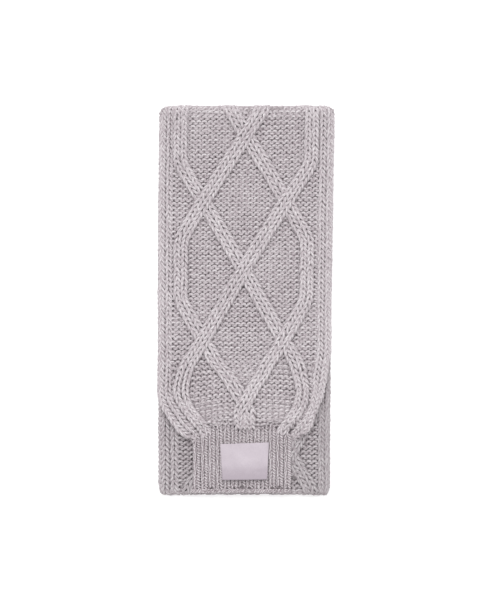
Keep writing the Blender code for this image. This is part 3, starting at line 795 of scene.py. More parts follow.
def loop_tree():
    """Geometry nodes that bend guide lines into loops of yarn and give them their thickness."""
    name = "Yarn loops"
    if name in bpy.data.node_groups:
        return bpy.data.node_groups[name]
    tree, given, result = new_tree(
        name, "GeometryNodeTree", LOOP_INPUTS, [("Yarn", "NodeSocketGeometry")])
    turn = named(tree, "turn")
    twice = calc(tree, "MULTIPLY", turn, 2.0)
    sine = calc(tree, "SINE", twice)
    cosine = calc(tree, "COSINE", turn)
    along = calc(tree, "MULTIPLY", sine, given["Swing"])
    up = calc(tree, "ADD", calc(tree, "MULTIPLY", cosine, given["Reach"]),
              calc(tree, "MULTIPLY", sine, given["Lean"]))
    out = calc(tree, "ADD", calc(tree, "MULTIPLY", calc(tree, "COSINE", twice), given["Depth"]),
               calc(tree, "MULTIPLY", cosine, given["Lift"]))
    deepest = calc(tree, "ADD", calc(tree, "ABSOLUTE", given["Depth"]),
                   calc(tree, "ABSOLUTE", given["Lift"]))
    # How deep each point lies, 0 in front and 1 behind; the yarn's finish paints shade from it.
    sunk = calc(tree, "SUBTRACT", 0.5, calc(tree, "MULTIPLY", calc(tree, "DIVIDE", out, deepest), 0.5))
    bend = add_node(tree, "ShaderNodeSeparateXYZ", {0: named(tree, "bend", "FLOAT_VECTOR")}).outputs
    for side, moved in ((bend["X"], along), (bend["Y"], up)):
        squared = calc(tree, "MULTIPLY", calc(tree, "MULTIPLY", moved, moved), 0.5)
        out = calc(tree, "ADD", out, calc(tree, "MULTIPLY", squared, side))
    offset = scale_vector(tree, named(tree, "course", "FLOAT_VECTOR"), along)
    offset = add_vectors(tree, offset, scale_vector(tree, named(tree, "wale", "FLOAT_VECTOR"), up))
    offset = add_vectors(tree, offset, scale_vector(tree, named(tree, "out", "FLOAT_VECTOR"), out))
    wander = add_node(tree, "ShaderNodeTexNoise", {"Scale": given["Unevenness scale"], "Detail": 1.0})
    centred = add_node(tree, "ShaderNodeVectorMath", {0: wander.outputs["Color"], 1: (0.5, 0.5, 0.5)},
                       operation="SUBTRACT").outputs[0]
    most = calc(tree, "MULTIPLY", given["Unevenness"], NOISE_REACH)
    offset = add_vectors(tree, offset, scale_vector(tree, centred, most))
    curve = add_node(tree, "GeometryNodeMeshToCurve", {"Mesh": given["Guides"]}).outputs["Curve"]
    curve = add_node(tree, "GeometryNodeSetPosition", {"Geometry": curve, "Offset": offset}).outputs[0]
    length = tree.nodes.new("GeometryNodeSplineParameter").outputs["Length"]
    length = calc(tree, "ADD", length, named(tree, "start"))
    for label, value in (("along", length), ("sunk", sunk)):
        curve = add_node(tree, "GeometryNodeStoreNamedAttribute",
                         {"Geometry": curve, "Name": label, "Value": value},
                         data_type="FLOAT", domain="POINT").outputs[0]
    ring = add_node(tree, "GeometryNodeCurvePrimitiveCircle",
                    {"Resolution": given["Sides"], "Radius": given["Yarn radius"]}).outputs["Curve"]
    factor = tree.nodes.new("GeometryNodeSplineParameter").outputs["Factor"]
    angle = calc(tree, "MULTIPLY", factor, TURN)
    around = add_node(tree, "ShaderNodeCombineXYZ",
                      {0: calc(tree, "COSINE", angle), 1: calc(tree, "SINE", angle)}).outputs[0]
    ring = add_node(tree, "GeometryNodeStoreNamedAttribute",
                    {"Geometry": ring, "Name": "around", "Value": around},
                    data_type="FLOAT_VECTOR", domain="POINT").outputs[0]
    tube = add_node(tree, "GeometryNodeCurveToMesh",
                    {"Curve": curve, "Profile Curve": ring, "Fill Caps": True}).outputs["Mesh"]
    tube = add_node(tree, "GeometryNodeSetShadeSmooth", {"Geometry": tube}).outputs[0]
    tube = add_node(tree, "GeometryNodeRealizeInstances", {"Geometry": tube}).outputs[0]
    tube = add_node(tree, "GeometryNodeSetMaterial",
                    {"Geometry": tube, "Material": given["Material"]}).outputs[0]
    tree.links.new(tube, result["Yarn"])
    return tree


def socket_id(tree, name):
    return next(item.identifier for item in tree.interface.items_tree
                if item.name == name and item.in_out == "INPUT")


def link_object(name, data):
    made = bpy.data.objects.new(name, data)
    bpy.context.scene.collection.objects.link(made)
    return made


def plain_mesh(made):
    """Turns what the modifiers give into the object's own mesh and removes them."""
    graph = bpy.context.evaluated_depsgraph_get()
    data = bpy.data.meshes.new_from_object(made.evaluated_get(graph))
    made.modifiers.clear()
    made.data = data
    data.name = made.name
    for spare in GUIDE_NAMES:
        layer = data.attributes.get(spare)
        if layer is not None:
            data.attributes.remove(layer)
    return made


def above_floor(made):
    """Presses the loops that the scarf lies on flat against the floor."""
    places = np.empty(3 * len(made.data.vertices), np.float32)
    made.data.vertices.foreach_get("co", places)
    places[2::3] = np.maximum(places[2::3], FLOOR_GAP)
    made.data.vertices.foreach_set("co", places)
    made.data.update()


def knit(name, guides, loop, stitch, row, material, slot, sides=SIDES):
    """A piece of knitting: its guide lines bent into loops, as one plain mesh."""
    tree = loop_tree()
    made = link_object(name, guides.mesh(name))
    modifier = made.modifiers.new("Yarn loops", "NODES")
    modifier.node_group = tree
    values = {
        "Swing": loop.swing * stitch,
        "Reach": loop.reach * row,
        "Lean": loop.lean * row,
        "Depth": loop.depth,
        "Lift": loop.lift,
        "Unevenness": loop.unevenness * bpy.context.scene.scarf_yarn.unevenness,
        "Yarn radius": loop.radius * bpy.context.scene.scarf_yarn.thickness,
        "Sides": sides,
        "Material": material,
    }
    for label, value in values.items():
        modifier[socket_id(tree, label)] = value
    above_floor(plain_mesh(made))
    dress(made, slot)
    return made


def dress(made, slot, *nodes):
    """Puts a finished piece on the scarf's body, and hides the nodes it stands for. Its slot is not used."""
    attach(made, BODY)
    if nodes:
        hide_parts(*nodes)
    return made


def enclosed(points, faces):
    """The volume inside a closed mesh of quads, below zero where its faces point inwards."""
    a, b, c, d = (points[faces[:, corner]] for corner in range(4))
    middle = (a + b + c + d) / 4.0
    facing = np.cross(c - a, d - b) / 2.0
    return np.sum(middle * facing) / 3.0


def cloth(name, place, us, ss, face, thickness, material, slot, *nodes, bare=None,
          gauge=(GROUND_STITCH, ROW)):
    """A thin closed sheet on a surface, from its places across and along and its height.

    It is bare where no loops hide it, and shows stitches of the gauge there.
    """
    u, s = np.meshgrid(us, ss)
    outer = place(u, s, face(u, s))
    inner = place(u, s, face(u, s) - thickness)
    rows, columns = u.shape
    points = np.concatenate([outer.reshape(-1, 3), inner.reshape(-1, 3)])
    index = np.arange(rows * columns).reshape(rows, columns)
    below = index + rows * columns
    faces = []

    def strip(a, b, c, d):
        faces.append(np.stack([a.ravel(), b.ravel(), c.ravel(), d.ravel()], axis=1))

    strip(index[:-1, :-1], index[:-1, 1:], index[1:, 1:], index[1:, :-1])
    strip(below[:-1, :-1], below[1:, :-1], below[1:, 1:], below[:-1, 1:])
    strip(index[0, :-1], below[0, :-1], below[0, 1:], index[0, 1:])
    strip(index[-1, :-1], index[-1, 1:], below[-1, 1:], below[-1, :-1])
    strip(index[:-1, 0], index[1:, 0], below[1:, 0], below[:-1, 0])
    strip(index[:-1, -1], below[:-1, -1], below[1:, -1], index[1:, -1])
    faces = np.concatenate(faces)
    if enclosed(points, faces) < 0.0:
        faces = faces[:, ::-1]
    data = bpy.data.meshes.new(name)
    data.from_pydata(points.tolist(), [], faces.tolist())
    data.shade_smooth()
    if bare is not None:
        layer = data.attributes.new("bare", "FLOAT", "POINT")
        layer.data.foreach_set("value", np.tile(bare(u, s).ravel(), 2).astype(np.float32))
        stitches = np.stack([u / gauge[0], s / gauge[1], np.zeros(u.shape)], axis=-1).reshape(-1, 3)
        layer = data.attributes.new("stitches", "FLOAT_VECTOR", "POINT")
        layer.data.foreach_set("vector", np.tile(stitches, (2, 1)).astype(np.float32).ravel())
    data.materials.append(material)
    return dress(link_object(name, data), slot, *nodes)


# ---- finishes --------------------------------------------------------------------------------------
TWIST_INPUTS = (
    ("Plies", "NodeSocketFloat", 3.0),
    ("Ply pitch", "NodeSocketFloat", 0.0045),
    ("Light", "NodeSocketColor", (0.66, 0.62, 0.64, 1.0)),
    ("Shade", "NodeSocketColor", (0.38, 0.33, 0.35, 1.0)),
    ("Ply shade", "NodeSocketFloat", 0.4),
    ("Sunk shade", "NodeSocketFloat", 0.32),
)


def twist_group():
    """Plied yarn: the height of its plies and fibres, and its mottled colour with painted shade where it lies
    deep.
    """
    name = "Yarn twist"
    if name in bpy.data.node_groups:
        return bpy.data.node_groups[name]
    tree, given, result = new_tree(
        name, "ShaderNodeTree", TWIST_INPUTS, [("Colour", "NodeSocketColor"), ("Height", "NodeSocketFloat")])
    along = attribute(tree, "along")
    parts = add_node(tree, "ShaderNodeSeparateXYZ", {0: attribute(tree, "around", "Vector")}).outputs
    angle = calc(tree, "ARCTAN2", parts["Y"], parts["X"])
    turns = calc(tree, "MULTIPLY", calc(tree, "DIVIDE", along, given["Ply pitch"]), TURN)
    phase = calc(tree, "ADD", calc(tree, "MULTIPLY", angle, given["Plies"]), turns)
    ply = calc(tree, "MULTIPLY_ADD", calc(tree, "SINE", phase), 0.5)
    fibre = noise(tree, object_place(tree), FIBRE_SCALE)
    drift = noise(tree, object_place(tree), DRIFT_SCALE)
    strand = add_node(tree, "ShaderNodeCombineXYZ", {
        0: calc(tree, "MULTIPLY", phase, STREAK_AROUND),
        1: calc(tree, "MULTIPLY", along, STREAK_ALONG)}).outputs[0]
    mixed = calc(tree, "ADD", swing(tree, noise(tree, strand, 1.0), STREAK_SHARE), 0.5)
    for value, share in ((ply, given["Ply shade"]), (fibre, 1.0), (drift, DRIFT_SHARE)):
        mixed = calc(tree, "ADD", mixed, swing(tree, value, share))
    ramp = add_node(tree, "ShaderNodeMapRange", {"Value": mixed}).outputs["Result"]
    colour = mix(tree, ramp, given["Shade"], given["Light"])
    # Painted shade: yarn that lies deep among the loops is darkened.
    sunk = calc(tree, "POWER", attribute(tree, "sunk"), SUNK_POWER)
    colour = mix(tree, calc(tree, "MULTIPLY", sunk, given["Sunk shade"]), colour, SUNK_SHADE_COLOUR)
    height = calc(tree, "ADD", ply, calc(tree, "MULTIPLY", fibre, FIBRE_HEIGHT))
    tree.links.new(colour, result["Colour"])
    tree.links.new(height, result["Height"])
    return tree


def new_material(name, roughness, sheen, specular):
    material = bpy.data.materials.new(name)
    material.use_nodes = True
    shader = material.node_tree.nodes["Principled BSDF"]
    shader.inputs["Roughness"].default_value = roughness
    shader.inputs["Sheen Weight"].default_value = sheen
    shader.inputs["Sheen Roughness"].default_value = 0.5
    shader.inputs["Specular IOR Level"].default_value = specular
    return material, material.node_tree, shader


def surface(tree, shader, colour, height, strength, depth):
    """Gives a finish its colour, and the fine relief that a height makes."""
    relief = add_node(tree, "ShaderNodeBump", {"Height": height, "Strength": strength, "Distance": depth})
    tree.links.new(colour, shader.inputs["Base Color"])
    tree.links.new(relief.outputs["Normal"], shader.inputs["Normal"])


def yarn_material(name, yarn, share=1.0):
    """A plied yarn, as a share of its brightness; a darker copy stands for painted shade."""
    if name in bpy.data.materials:
        return bpy.data.materials[name]
    colours = bpy.context.scene.scarf_colours
    light, shade = (scaled(getattr(colours, colour), share) for colour in (yarn.light, yarn.shade))
    material, tree, shader = new_material(name, roughness=0.9, sheen=0.04, specular=0.22)
    values = {"Plies": PLIES, "Ply pitch": yarn.pitch, "Light": (*light, 1.0), "Shade": (*shade, 1.0),
              "Ply shade": yarn.ply_shade}
    twist = add_node(tree, "ShaderNodeGroup", values, node_tree=twist_group()).outputs
    surface(tree, shader, twist["Colour"], twist["Height"], strength=0.6, depth=yarn.depth)
    return material


def shell_material(name, colour):
    """The cloth behind the loops: painted shade darkens it in the gaps between them, and between its wavy
    rows where it is bare.
    """
    if name in bpy.data.materials:
        return bpy.data.materials[name]
    material, tree, shader = new_material(name, roughness=1.0, sheen=0.04, specular=0.1)
    fuzz = noise(tree, object_place(tree), FUZZ_SCALE, detail=3.0)
    parts = add_node(tree, "ShaderNodeSeparateXYZ", {0: attribute(tree, "stitches", "Vector")}).outputs
    wave = calc(tree, "COSINE", calc(tree, "MULTIPLY", parts["X"], TURN))
    row = calc(tree, "ADD", parts["Y"], calc(tree, "MULTIPLY", wave, BARE_WAVE))
    row = calc(tree, "ADD", row, swing(tree, fuzz, BARE_WANDER))
    ridge = calc(tree, "ABSOLUTE", calc(tree, "COSINE", calc(tree, "MULTIPLY", row, PI)))
    ridge = calc(tree, "POWER", ridge, BARE_ROUNDNESS)
    # Painted shade: darker between the bare rows, and all over where loops hide the cloth.
    lit = calc(tree, "MULTIPLY_ADD", ridge, BARE_VALLEY_SHADE, 1.0 - BARE_VALLEY_SHADE)
    lit = calc(tree, "MULTIPLY", attribute(tree, "bare"), lit)
    mixed = mix(tree, lit, scaled(colour, HIDDEN_CLOTH_SHADE), scaled(colour, PALE_CLOTH))
    height = calc(tree, "ADD", calc(tree, "MULTIPLY", fuzz, FUZZ_HEIGHT), ridge)
    surface(tree, shader, mixed, height, strength=0.7, depth=0.0012)
    return material


def satin_material(name, light, shade):
    """Woven satin: fine floats across the label with a soft sheen."""
    if name in bpy.data.materials:
        return bpy.data.materials[name]
    material, tree, shader = new_material(name, roughness=0.5, sheen=0.15, specular=0.35)
    place = object_place(tree)
    floats = add_node(tree, "ShaderNodeTexWave", {"Vector": place, "Scale": FLOAT_SCALE, "Distortion": 0.6,
                                                  "Detail": 1.0}, bands_direction="Y")
    warp = add_node(tree, "ShaderNodeTexWave", {"Vector": place, "Scale": WARP_SCALE, "Distortion": 0.4},
                    bands_direction="X")
    raised = calc(tree, "MULTIPLY", warp.outputs["Fac"], WARP_HEIGHT)
    height = calc(tree, "ADD", floats.outputs["Fac"], raised)
    down = add_node(tree, "ShaderNodeSeparateXYZ", {0: place}).outputs["Y"]
    # Painted shade: the satin darkens towards its bottom edge.
    tone = add_node(tree, "ShaderNodeMapRange", {
        "Value": down, "From Min": LABEL_BOTTOM_LEFT.y, "From Max": LABEL_SHADE_Y, "To Min": BOTTOM_SHADE_TONE,
        "To Max": 0.0}, interpolation_type="SMOOTHSTEP").outputs["Result"]
    cloud = noise(tree, place, CLOUD_SCALE)
    grain = noise(tree, place, GRAIN_SCALE)
    for value, share in ((height, WEAVE_TONE), (cloud, CLOUD_TONE), (grain, GRAIN_TONE)):
        tone = calc(tree, "ADD", tone, calc(tree, "MULTIPLY", value, share))
    surface(tree, shader, mix(tree, tone, shade, light), height, strength=0.4, depth=0.0001)
    return material


def panel_cloth():
    return shell_material("panel_cloth", bpy.context.scene.scarf_colours.cloth)


# ---- rows of the panels ----------------------------------------------------------------------------
def side_pair(low, high):
    """The two mirrored stretches across a panel that lie between these distances from its middle."""
    return (-high, -low), (low, high)


def shell_columns(count):
    """Places across a panel for its cloth, with a last one round each side edge."""
    return np.concatenate([[-SHELL_REACH], np.linspace(-HALF_WIDTH, HALF_WIDTH, count), [SHELL_REACH]])


def even_rows(place, line_u, start, stop):
    """Rows that lie a row's height apart on the surface, measured along a line on it."""
    s = np.linspace(start, stop, LINE_SAMPLES)
    u = line_u(s)
    laid = np.linalg.norm(np.diff(place(u, s, 0.0), axis=0), axis=1)
    share = laid / np.hypot(np.diff(u), np.diff(s))
    reach = np.concatenate([[0.0], np.cumsum(share * np.abs(np.diff(s)))])
    return np.interp(np.arange(0.0, reach[-1], ROW), reach, s)


def groove(distance):
    """How far the ground sinks beside a cable."""
    return GROOVE_H * smooth(1.0 - (distance - CABLE_HALF_WIDTH) / GROOVE_WIDTH)


def ground_rows(guides, place, span, low_u, high_u, lattice, points, flat=0.0, shown=None, part=None):
    """Purl rows between the edge strips, cut where a cable covers them.

    A part keeps only the rows of the span that lie in it.
    """
    u = np.arange(low_u, high_u, GROUND_STITCH / points)
    middle = np.argmin(np.abs(u - lattice.middle_u))
    low, high = part or span
    for row in even_rows(place, lambda s: np.full(len(s), GROUND_LINE_U), *span):
        if not min(low, high) <= row < max(low, high):
            continue
        s = row + waviness(u, row)
        laid = np.linalg.norm(np.diff(place(u, s, 0.0), axis=0), axis=1)
        length = np.concatenate([[0.0], np.cumsum(laid)])
        turn = TURN * (length - length[middle]) / GROUND_STITCH
        distance = cable_distance(u, s, lattice)
        keep = distance > CABLE_HALF_WIDTH - GROUND_UNDER_CABLE
        if shown is not None:
            keep &= shown(u, s)
        h = GROUND_H + (1.0 - flat) * groove(distance)
        for run in split_runs(keep, points // 2):
            guides.add(place, u[run], s[run], h[run], turn[run], (1.0, 0.0), (0.0, 1.0), true_course=True)


def cable_rows(guides, place, span, lattice, points, flat=0.0, shown=None):
    """Knit rows of every cable, square to the cable's way, passing over and under each other."""
    turn = np.linspace(-TURN, TURN, 2 * points + 1)
    across = CABLE_STITCH * turn / TURN
    crown = CABLE_CROWN * (1.0 - (across / (CROWN_REACH * CABLE_HALF_WIDTH)) ** 2)
    for index in range(CABLES):
        rows = even_rows(place, lambda s: cable_middle(s, index, lattice), *span)
        middles = cable_middle(rows, index, lattice)
        slopes = cable_slope(rows, index, lattice)
        for row, middle, slope in zip(rows, middles, slopes):
            course = np.array([1.0, -slope]) / math.hypot(1.0, slope)
            u = middle + across * course[0]
            s = row + across * course[1]
            if shown is not None and not np.all(shown(u, s)):
                continue
            level = crossing_height(u, s, index, lattice)
            h = lerp(CABLE_H + crown + level, GROUND_H, flat)
            guides.add(place, u, s, h, turn + PI, course, (slope, 1.0), true_course=True)


def strip_rows(guides, place, span, low_u, high_u, meet_u, stitch, points, height, corner_y=1.0,
               lattice=None):
    """Knit columns from low_u to high_u; two of them meet at meet_u.

    Rows past corner_y stop short of the side edge, where the cloth rounds the corner. The columns
    sink beside a lattice's cables.
    """
    u = np.arange(low_u, high_u, stitch / points)
    turn = TURN * (u - meet_u) / stitch + PI
    flat_u = HALF_WIDTH - EDGE_ROLL
    line = np.mean(np.clip((low_u, high_u), -flat_u, flat_u))
    relief = lerp(1.0, EDGE_LOOP_RELIEF, smooth((np.abs(u) - flat_u + EDGE_ROLL) / (2.0 * EDGE_ROLL)))
    for row in even_rows(place, lambda s: np.full(len(s), line), *span):
        s = row + waviness(u, row)
        y = place(np.array([line]), np.array([row]), 0.0)[0, 1]
        run = np.abs(u) < (HALF_WIDTH - CORNER_TRIM if abs(y) > corner_y else 1.0)
        h = np.full(len(u), height)
        if lattice is not None:
            h = h + STRIP_GROOVE * groove(cable_distance(u, s, lattice))
        guides.add(place, u[run], s[run], h[run], turn[run], (1.0, 0.0), (0.0, 1.0), relief[run],
                   true_course=True)


# ---- operators -------------------------------------------------------------------------------------
class ScarfYarn(bpy.types.PropertyGroup):
    """Sizes of the yarn that a user would change."""

    thickness: bpy.props.FloatProperty(
        name="Thickness", description="Thickness of the yarn, as a share of its own",
        default=1.0, min=0.7, max=1.2, subtype="FACTOR")
    unevenness: bpy.props.FloatProperty(
        name="Unevenness", description="How uneven the stitches are, as a share of hand knitting",
        default=1.0, min=0.0, max=2.0, subtype="FACTOR")


class ScarfColours(bpy.types.PropertyGroup):
    """Colours of the yarn, the cloth behind it, the label and the floor."""

    yarn_light: bpy.props.FloatVectorProperty(
        name="Yarn, light", description="Light fibres of the panel's yarn", subtype="COLOR",
        size=3, default=(0.72, 0.685, 0.70), min=0.0, max=1.0)
    yarn_shade: bpy.props.FloatVectorProperty(
        name="Yarn, shade", description="Dark fibres of the panel's yarn", subtype="COLOR",
        size=3, default=(0.365, 0.31, 0.335), min=0.0, max=1.0)
    cuff_light: bpy.props.FloatVectorProperty(
        name="Cuff, light", description="Light fibres of the cuffs' yarn", subtype="COLOR",
        size=3, default=(0.68, 0.64, 0.66), min=0.0, max=1.0)
    cuff_shade: bpy.props.FloatVectorProperty(
        name="Cuff, shade", description="Dark fibres of the cuffs' yarn", subtype="COLOR",
        size=3, default=(0.27, 0.22, 0.24), min=0.0, max=1.0)
    cloth: bpy.props.FloatVectorProperty(
        name="Cloth", description="The knitting behind the loops", subtype="COLOR",
        size=3, default=(0.54, 0.48, 0.505), min=0.0, max=1.0)
    satin_light: bpy.props.FloatVectorProperty(
        name="Satin, light", description="Raised floats of the label's satin", subtype="COLOR",
        size=3, default=(0.54, 0.482, 0.53), min=0.0, max=1.0)
    satin_shade: bpy.props.FloatVectorProperty(
        name="Satin, shade", description="Ground of the label's satin", subtype="COLOR",
        size=3, default=(0.36, 0.31, 0.352), min=0.0, max=1.0)
    floor: bpy.props.FloatVectorProperty(
        name="Floor", description="The plain floor", subtype="COLOR",
        size=3, default=(0.95, 0.95, 0.95), min=0.0, max=1.0)


class SCARF_OT_front_panel(bpy.types.Operator):
    """Knit the stretch on top, round the outer fold"""

    bl_idname = "scarf.front_panel"
    bl_label = "Knit the front panel"

    def execute(self, context):
        yarn = yarn_material("panel_yarn", PANEL_YARN)

        def above_ribs(u, s):
            return s > BUNDLE_END_S + GROUND_END_WAVE * np.sin(TURN * u / GROUND_END_PITCH)

        def above_cuff(u, s):
            return (s > BUNDLE_END_S) | (np.abs(u) > BUNDLE_REACH_U)

        for name, part in (("front_ground", (FRONT_SPAN[0], HALFWAY_S)),
                           ("fold_ground", (HALFWAY_S, FRONT_SPAN[1]))):
            ground = Guides()
            ground_rows(ground, front_place, FRONT_SPAN, -INNER_U - GROUND_OVERLAP, INNER_U + GROUND_OVERLAP,
                        TOP_LATTICE, POINTS, shown=above_ribs, part=part)
            knit(name, ground, PURL, GROUND_STITCH, ROW, yarn, PANEL_SLOT)
        cables = Guides()
        cable_rows(cables, front_place, FRONT_SPAN, TOP_LATTICE, POINTS, shown=above_cuff)
        knit("front_cables", cables, KNIT, CABLE_STITCH, ROW, yarn, PANEL_SLOT)
        strips = Guides()
        for low, high in side_pair(INNER_U, CURL_U):
            meet = math.copysign(HALF_WIDTH - STRIP_STITCH, low)
            strip_rows(strips, front_place, FRONT_SPAN, low, high, meet, STRIP_STITCH, POINTS, STRIP_H,
                       CORNER_Y, TOP_LATTICE)
        knit("front_edge_strips", strips, STRIP, STRIP_STITCH, ROW, yarn, PANEL_SLOT)

        def folded(s):
            return fills(s - OUTER_FOLD_Y, UNDERSIDE_S - s, OUTER_FILL)

        def bare(u, s):
            return np.maximum(at_edge(u), folded(s))

        def face(u, s):
            near = cable_distance(u, s, TOP_LATTICE)
            cable = SHELL_CABLE_RISE * smooth(SHELL_CABLE_REACH - near / CABLE_HALF_WIDTH)
            strip = SHELL_STRIP_RISE * smooth((np.abs(u) - INNER_U) / SHELL_EASE)
            edge = SHELL_EDGE_RISE * at_edge(u)
            return lerp(SHELL_H + np.maximum(cable, strip + edge), FOLD_SHELL_H, folded(s))

        made = cloth("front_panel_cloth", front_place, shell_columns(FRONT_SHELL_COLUMNS),
                     np.arange(*FRONT_SHELL_SPAN, SHELL_STEP), face, SHELL_THICKNESS, panel_cloth(),
                     PANEL_SLOT, "front_panel", bare=bare)
        return {"FINISHED"}


class SCARF_OT_lower_panel(bpy.types.Operator):
    """Knit the stretch that shows at the two corners, round the end fold"""

    bl_idname = "scarf.lower_panel"
    bl_label = "Knit the lower panel"

    def execute(self, context):
        # Darker copies of the panel's yarn, as painted shade where the front panel overhangs the corners.
        yarn = yarn_material("lower_yarn", PANEL_YARN, LOWER_SHADE_SHARE)
        sunken = yarn_material("sunken_yarn", PANEL_YARN, SUNKEN_SHADE_SHARE)
        shaded = yarn_material("shaded_yarn", PANEL_YARN, SHADED_SHARE)

        def shown(u, s):
            corners = (s < CORNERS_SHOW_S) & ((u < CORNER_LEFT_U) | (u > CORNER_RIGHT_U))
            return corners | (s < BELOW_CUFF_S)

        def cables_shown(u, s):
            return shown(u, s) & (s > LOWER_CABLE_END_S)

        left_inner = -HALF_WIDTH + LOWER_LEFT_STRIP.width
        right_inner = HALF_WIDTH - LOWER_RIGHT_STRIP.width
        ground = Guides()
        ground_rows(ground, lower_place, LOWER_SPAN, left_inner - GROUND_OVERLAP,
                    right_inner + GROUND_OVERLAP, LOWER_LATTICE, POINTS, shown=shown)
        pieces = [knit("lower_ground", ground, LOWER_PURL, GROUND_STITCH, ROW, sunken, PANEL_SLOT)]
        cables = Guides()
        cable_rows(cables, lower_place, LOWER_SPAN, LOWER_LATTICE, POINTS, shown=cables_shown)
        pieces.append(knit("lower_cables", cables, LOWER_KNIT, CABLE_STITCH, ROW, shaded, PANEL_SLOT))
        for name, strip, side, low, high, spun in (
            ("lower_left_strip", LOWER_LEFT_STRIP, -1.0, -CURL_U, left_inner, yarn),
            ("lower_right_strip", LOWER_RIGHT_STRIP, 1.0, right_inner, CURL_U, shaded),
        ):
            strips = Guides()
            meet = side * (HALF_WIDTH - strip.meets)
            strip_rows(strips, lower_place, LOWER_SPAN, low, high, meet, strip.stitch, POINTS, STRIP_H,
                       CORNER_Y)
            pieces.append(knit(name, strips, LOWER_KNIT, strip.stitch, ROW, spun, PANEL_SLOT))

        def folded(s):
            return fills(END_FOLD_Y - s, s - LOWEST_S, END_FILL)

        def bare(u, s):
            return np.maximum(at_edge(u), folded(s))

        def face(u, s):
            return lerp(SHELL_H + SHELL_EDGE_RISE * at_edge(u), FOLD_SHELL_H, folded(s))

        made = cloth("lower_panel_cloth", lower_place, shell_columns(LOWER_SHELL_COLUMNS),
                     np.arange(*LOWER_SHELL_SPAN, -LOWER_SHELL_STEP), face, SHELL_THICKNESS, panel_cloth(),
                     PANEL_SLOT, "lower_panel", bare=bare)
        return {"FINISHED"}


class SCARF_OT_folded_layers(bpy.types.Operator):
    """Knit the edges of the layers between, and the face that the scarf lies on"""

    bl_idname = "scarf.folded_layers"
    bl_label = "Knit the folded layers"

    def execute(self, context):
        yarn = yarn_material("panel_yarn", PANEL_YARN)
        edges = Guides()
        for place, span in ((inner_place, INNER_SPAN), (front_place, UNDER_SPAN)):
            for low, high in side_pair(HIDDEN_SIDE_U, HIDDEN_CURL_U):
                meet = math.copysign(HIDDEN_SIDE_U - HIDDEN_MEET, low)
                strip_rows(edges, place, span, low, high, meet, HIDDEN_STITCH, POINTS - 2, STRIP_H)
        knit("folded_layers_edges", edges, STRIP, STRIP_STITCH, ROW, yarn, PANEL_SLOT, EDGE_SIDES)
        under = Guides()
        ground_rows(under, front_place, UNDER_SPAN, -INNER_U, INNER_U, UNDER_LATTICE, FAR_POINTS, 1.0)
        knit("underside_ground", under, PURL, GROUND_STITCH, ROW, yarn, PANEL_SLOT, FAR_SIDES)
        under = Guides()
        cable_rows(under, front_place, UNDER_SPAN, UNDER_LATTICE, FAR_POINTS, 1.0,
                   shown=lambda u, s: s < UNDER_SPAN[1])
        for low, high in side_pair(INNER_U, HALF_WIDTH - EDGE_ROLL):
            meet = math.copysign(HALF_WIDTH - STRIP_STITCH, low)
            strip_rows(under, front_place, UNDER_SPAN, low, high, meet, STRIP_STITCH, FAR_POINTS, GROUND_H)
        knit("underside_cables", under, KNIT, CABLE_STITCH, ROW, yarn, PANEL_SLOT, FAR_SIDES)
        self.core()
        return {"FINISHED"}

    def core(self):
        """The body of the hidden layers, a little inside their knitted edges."""
        points = []
        faces = []
        count = 24
        for level in CORE_LEVELS:
            line = np.linspace(level.end_y, CORE_TOP_Y, count)
            left, right = edges_at(level.edges, line)
            points += [(x + level.inset, y, level.z) for x, y in zip(left, line)]
            points += [(x - level.inset, y, level.z) for x, y in zip(right[::-1], line[::-1])]
        size = 2 * count
        for lower in range(len(CORE_LEVELS) - 1):
            for i in range(size):
                a = lower * size + i
                b = lower * size + (i + 1) % size
                faces.append((a, a + size, b + size, b))
        top = (len(CORE_LEVELS) - 1) * size
        for i in range(count - 1):
            faces.append((i, i + 1, size - 2 - i, size - 1 - i))
            faces.append((top + i, top + size - 1 - i, top + size - 2 - i, top + i + 1))
        data = bpy.data.meshes.new("folded_layers_cloth")
        data.from_pydata(points, [], faces)
        # Without a bare attribute this cloth takes its darkest colour: painted shade in the gaps between the
        # layers.
        data.materials.append(panel_cloth())
        dress(link_object("folded_layers_cloth", data), PANEL_SLOT, "folded_layers")


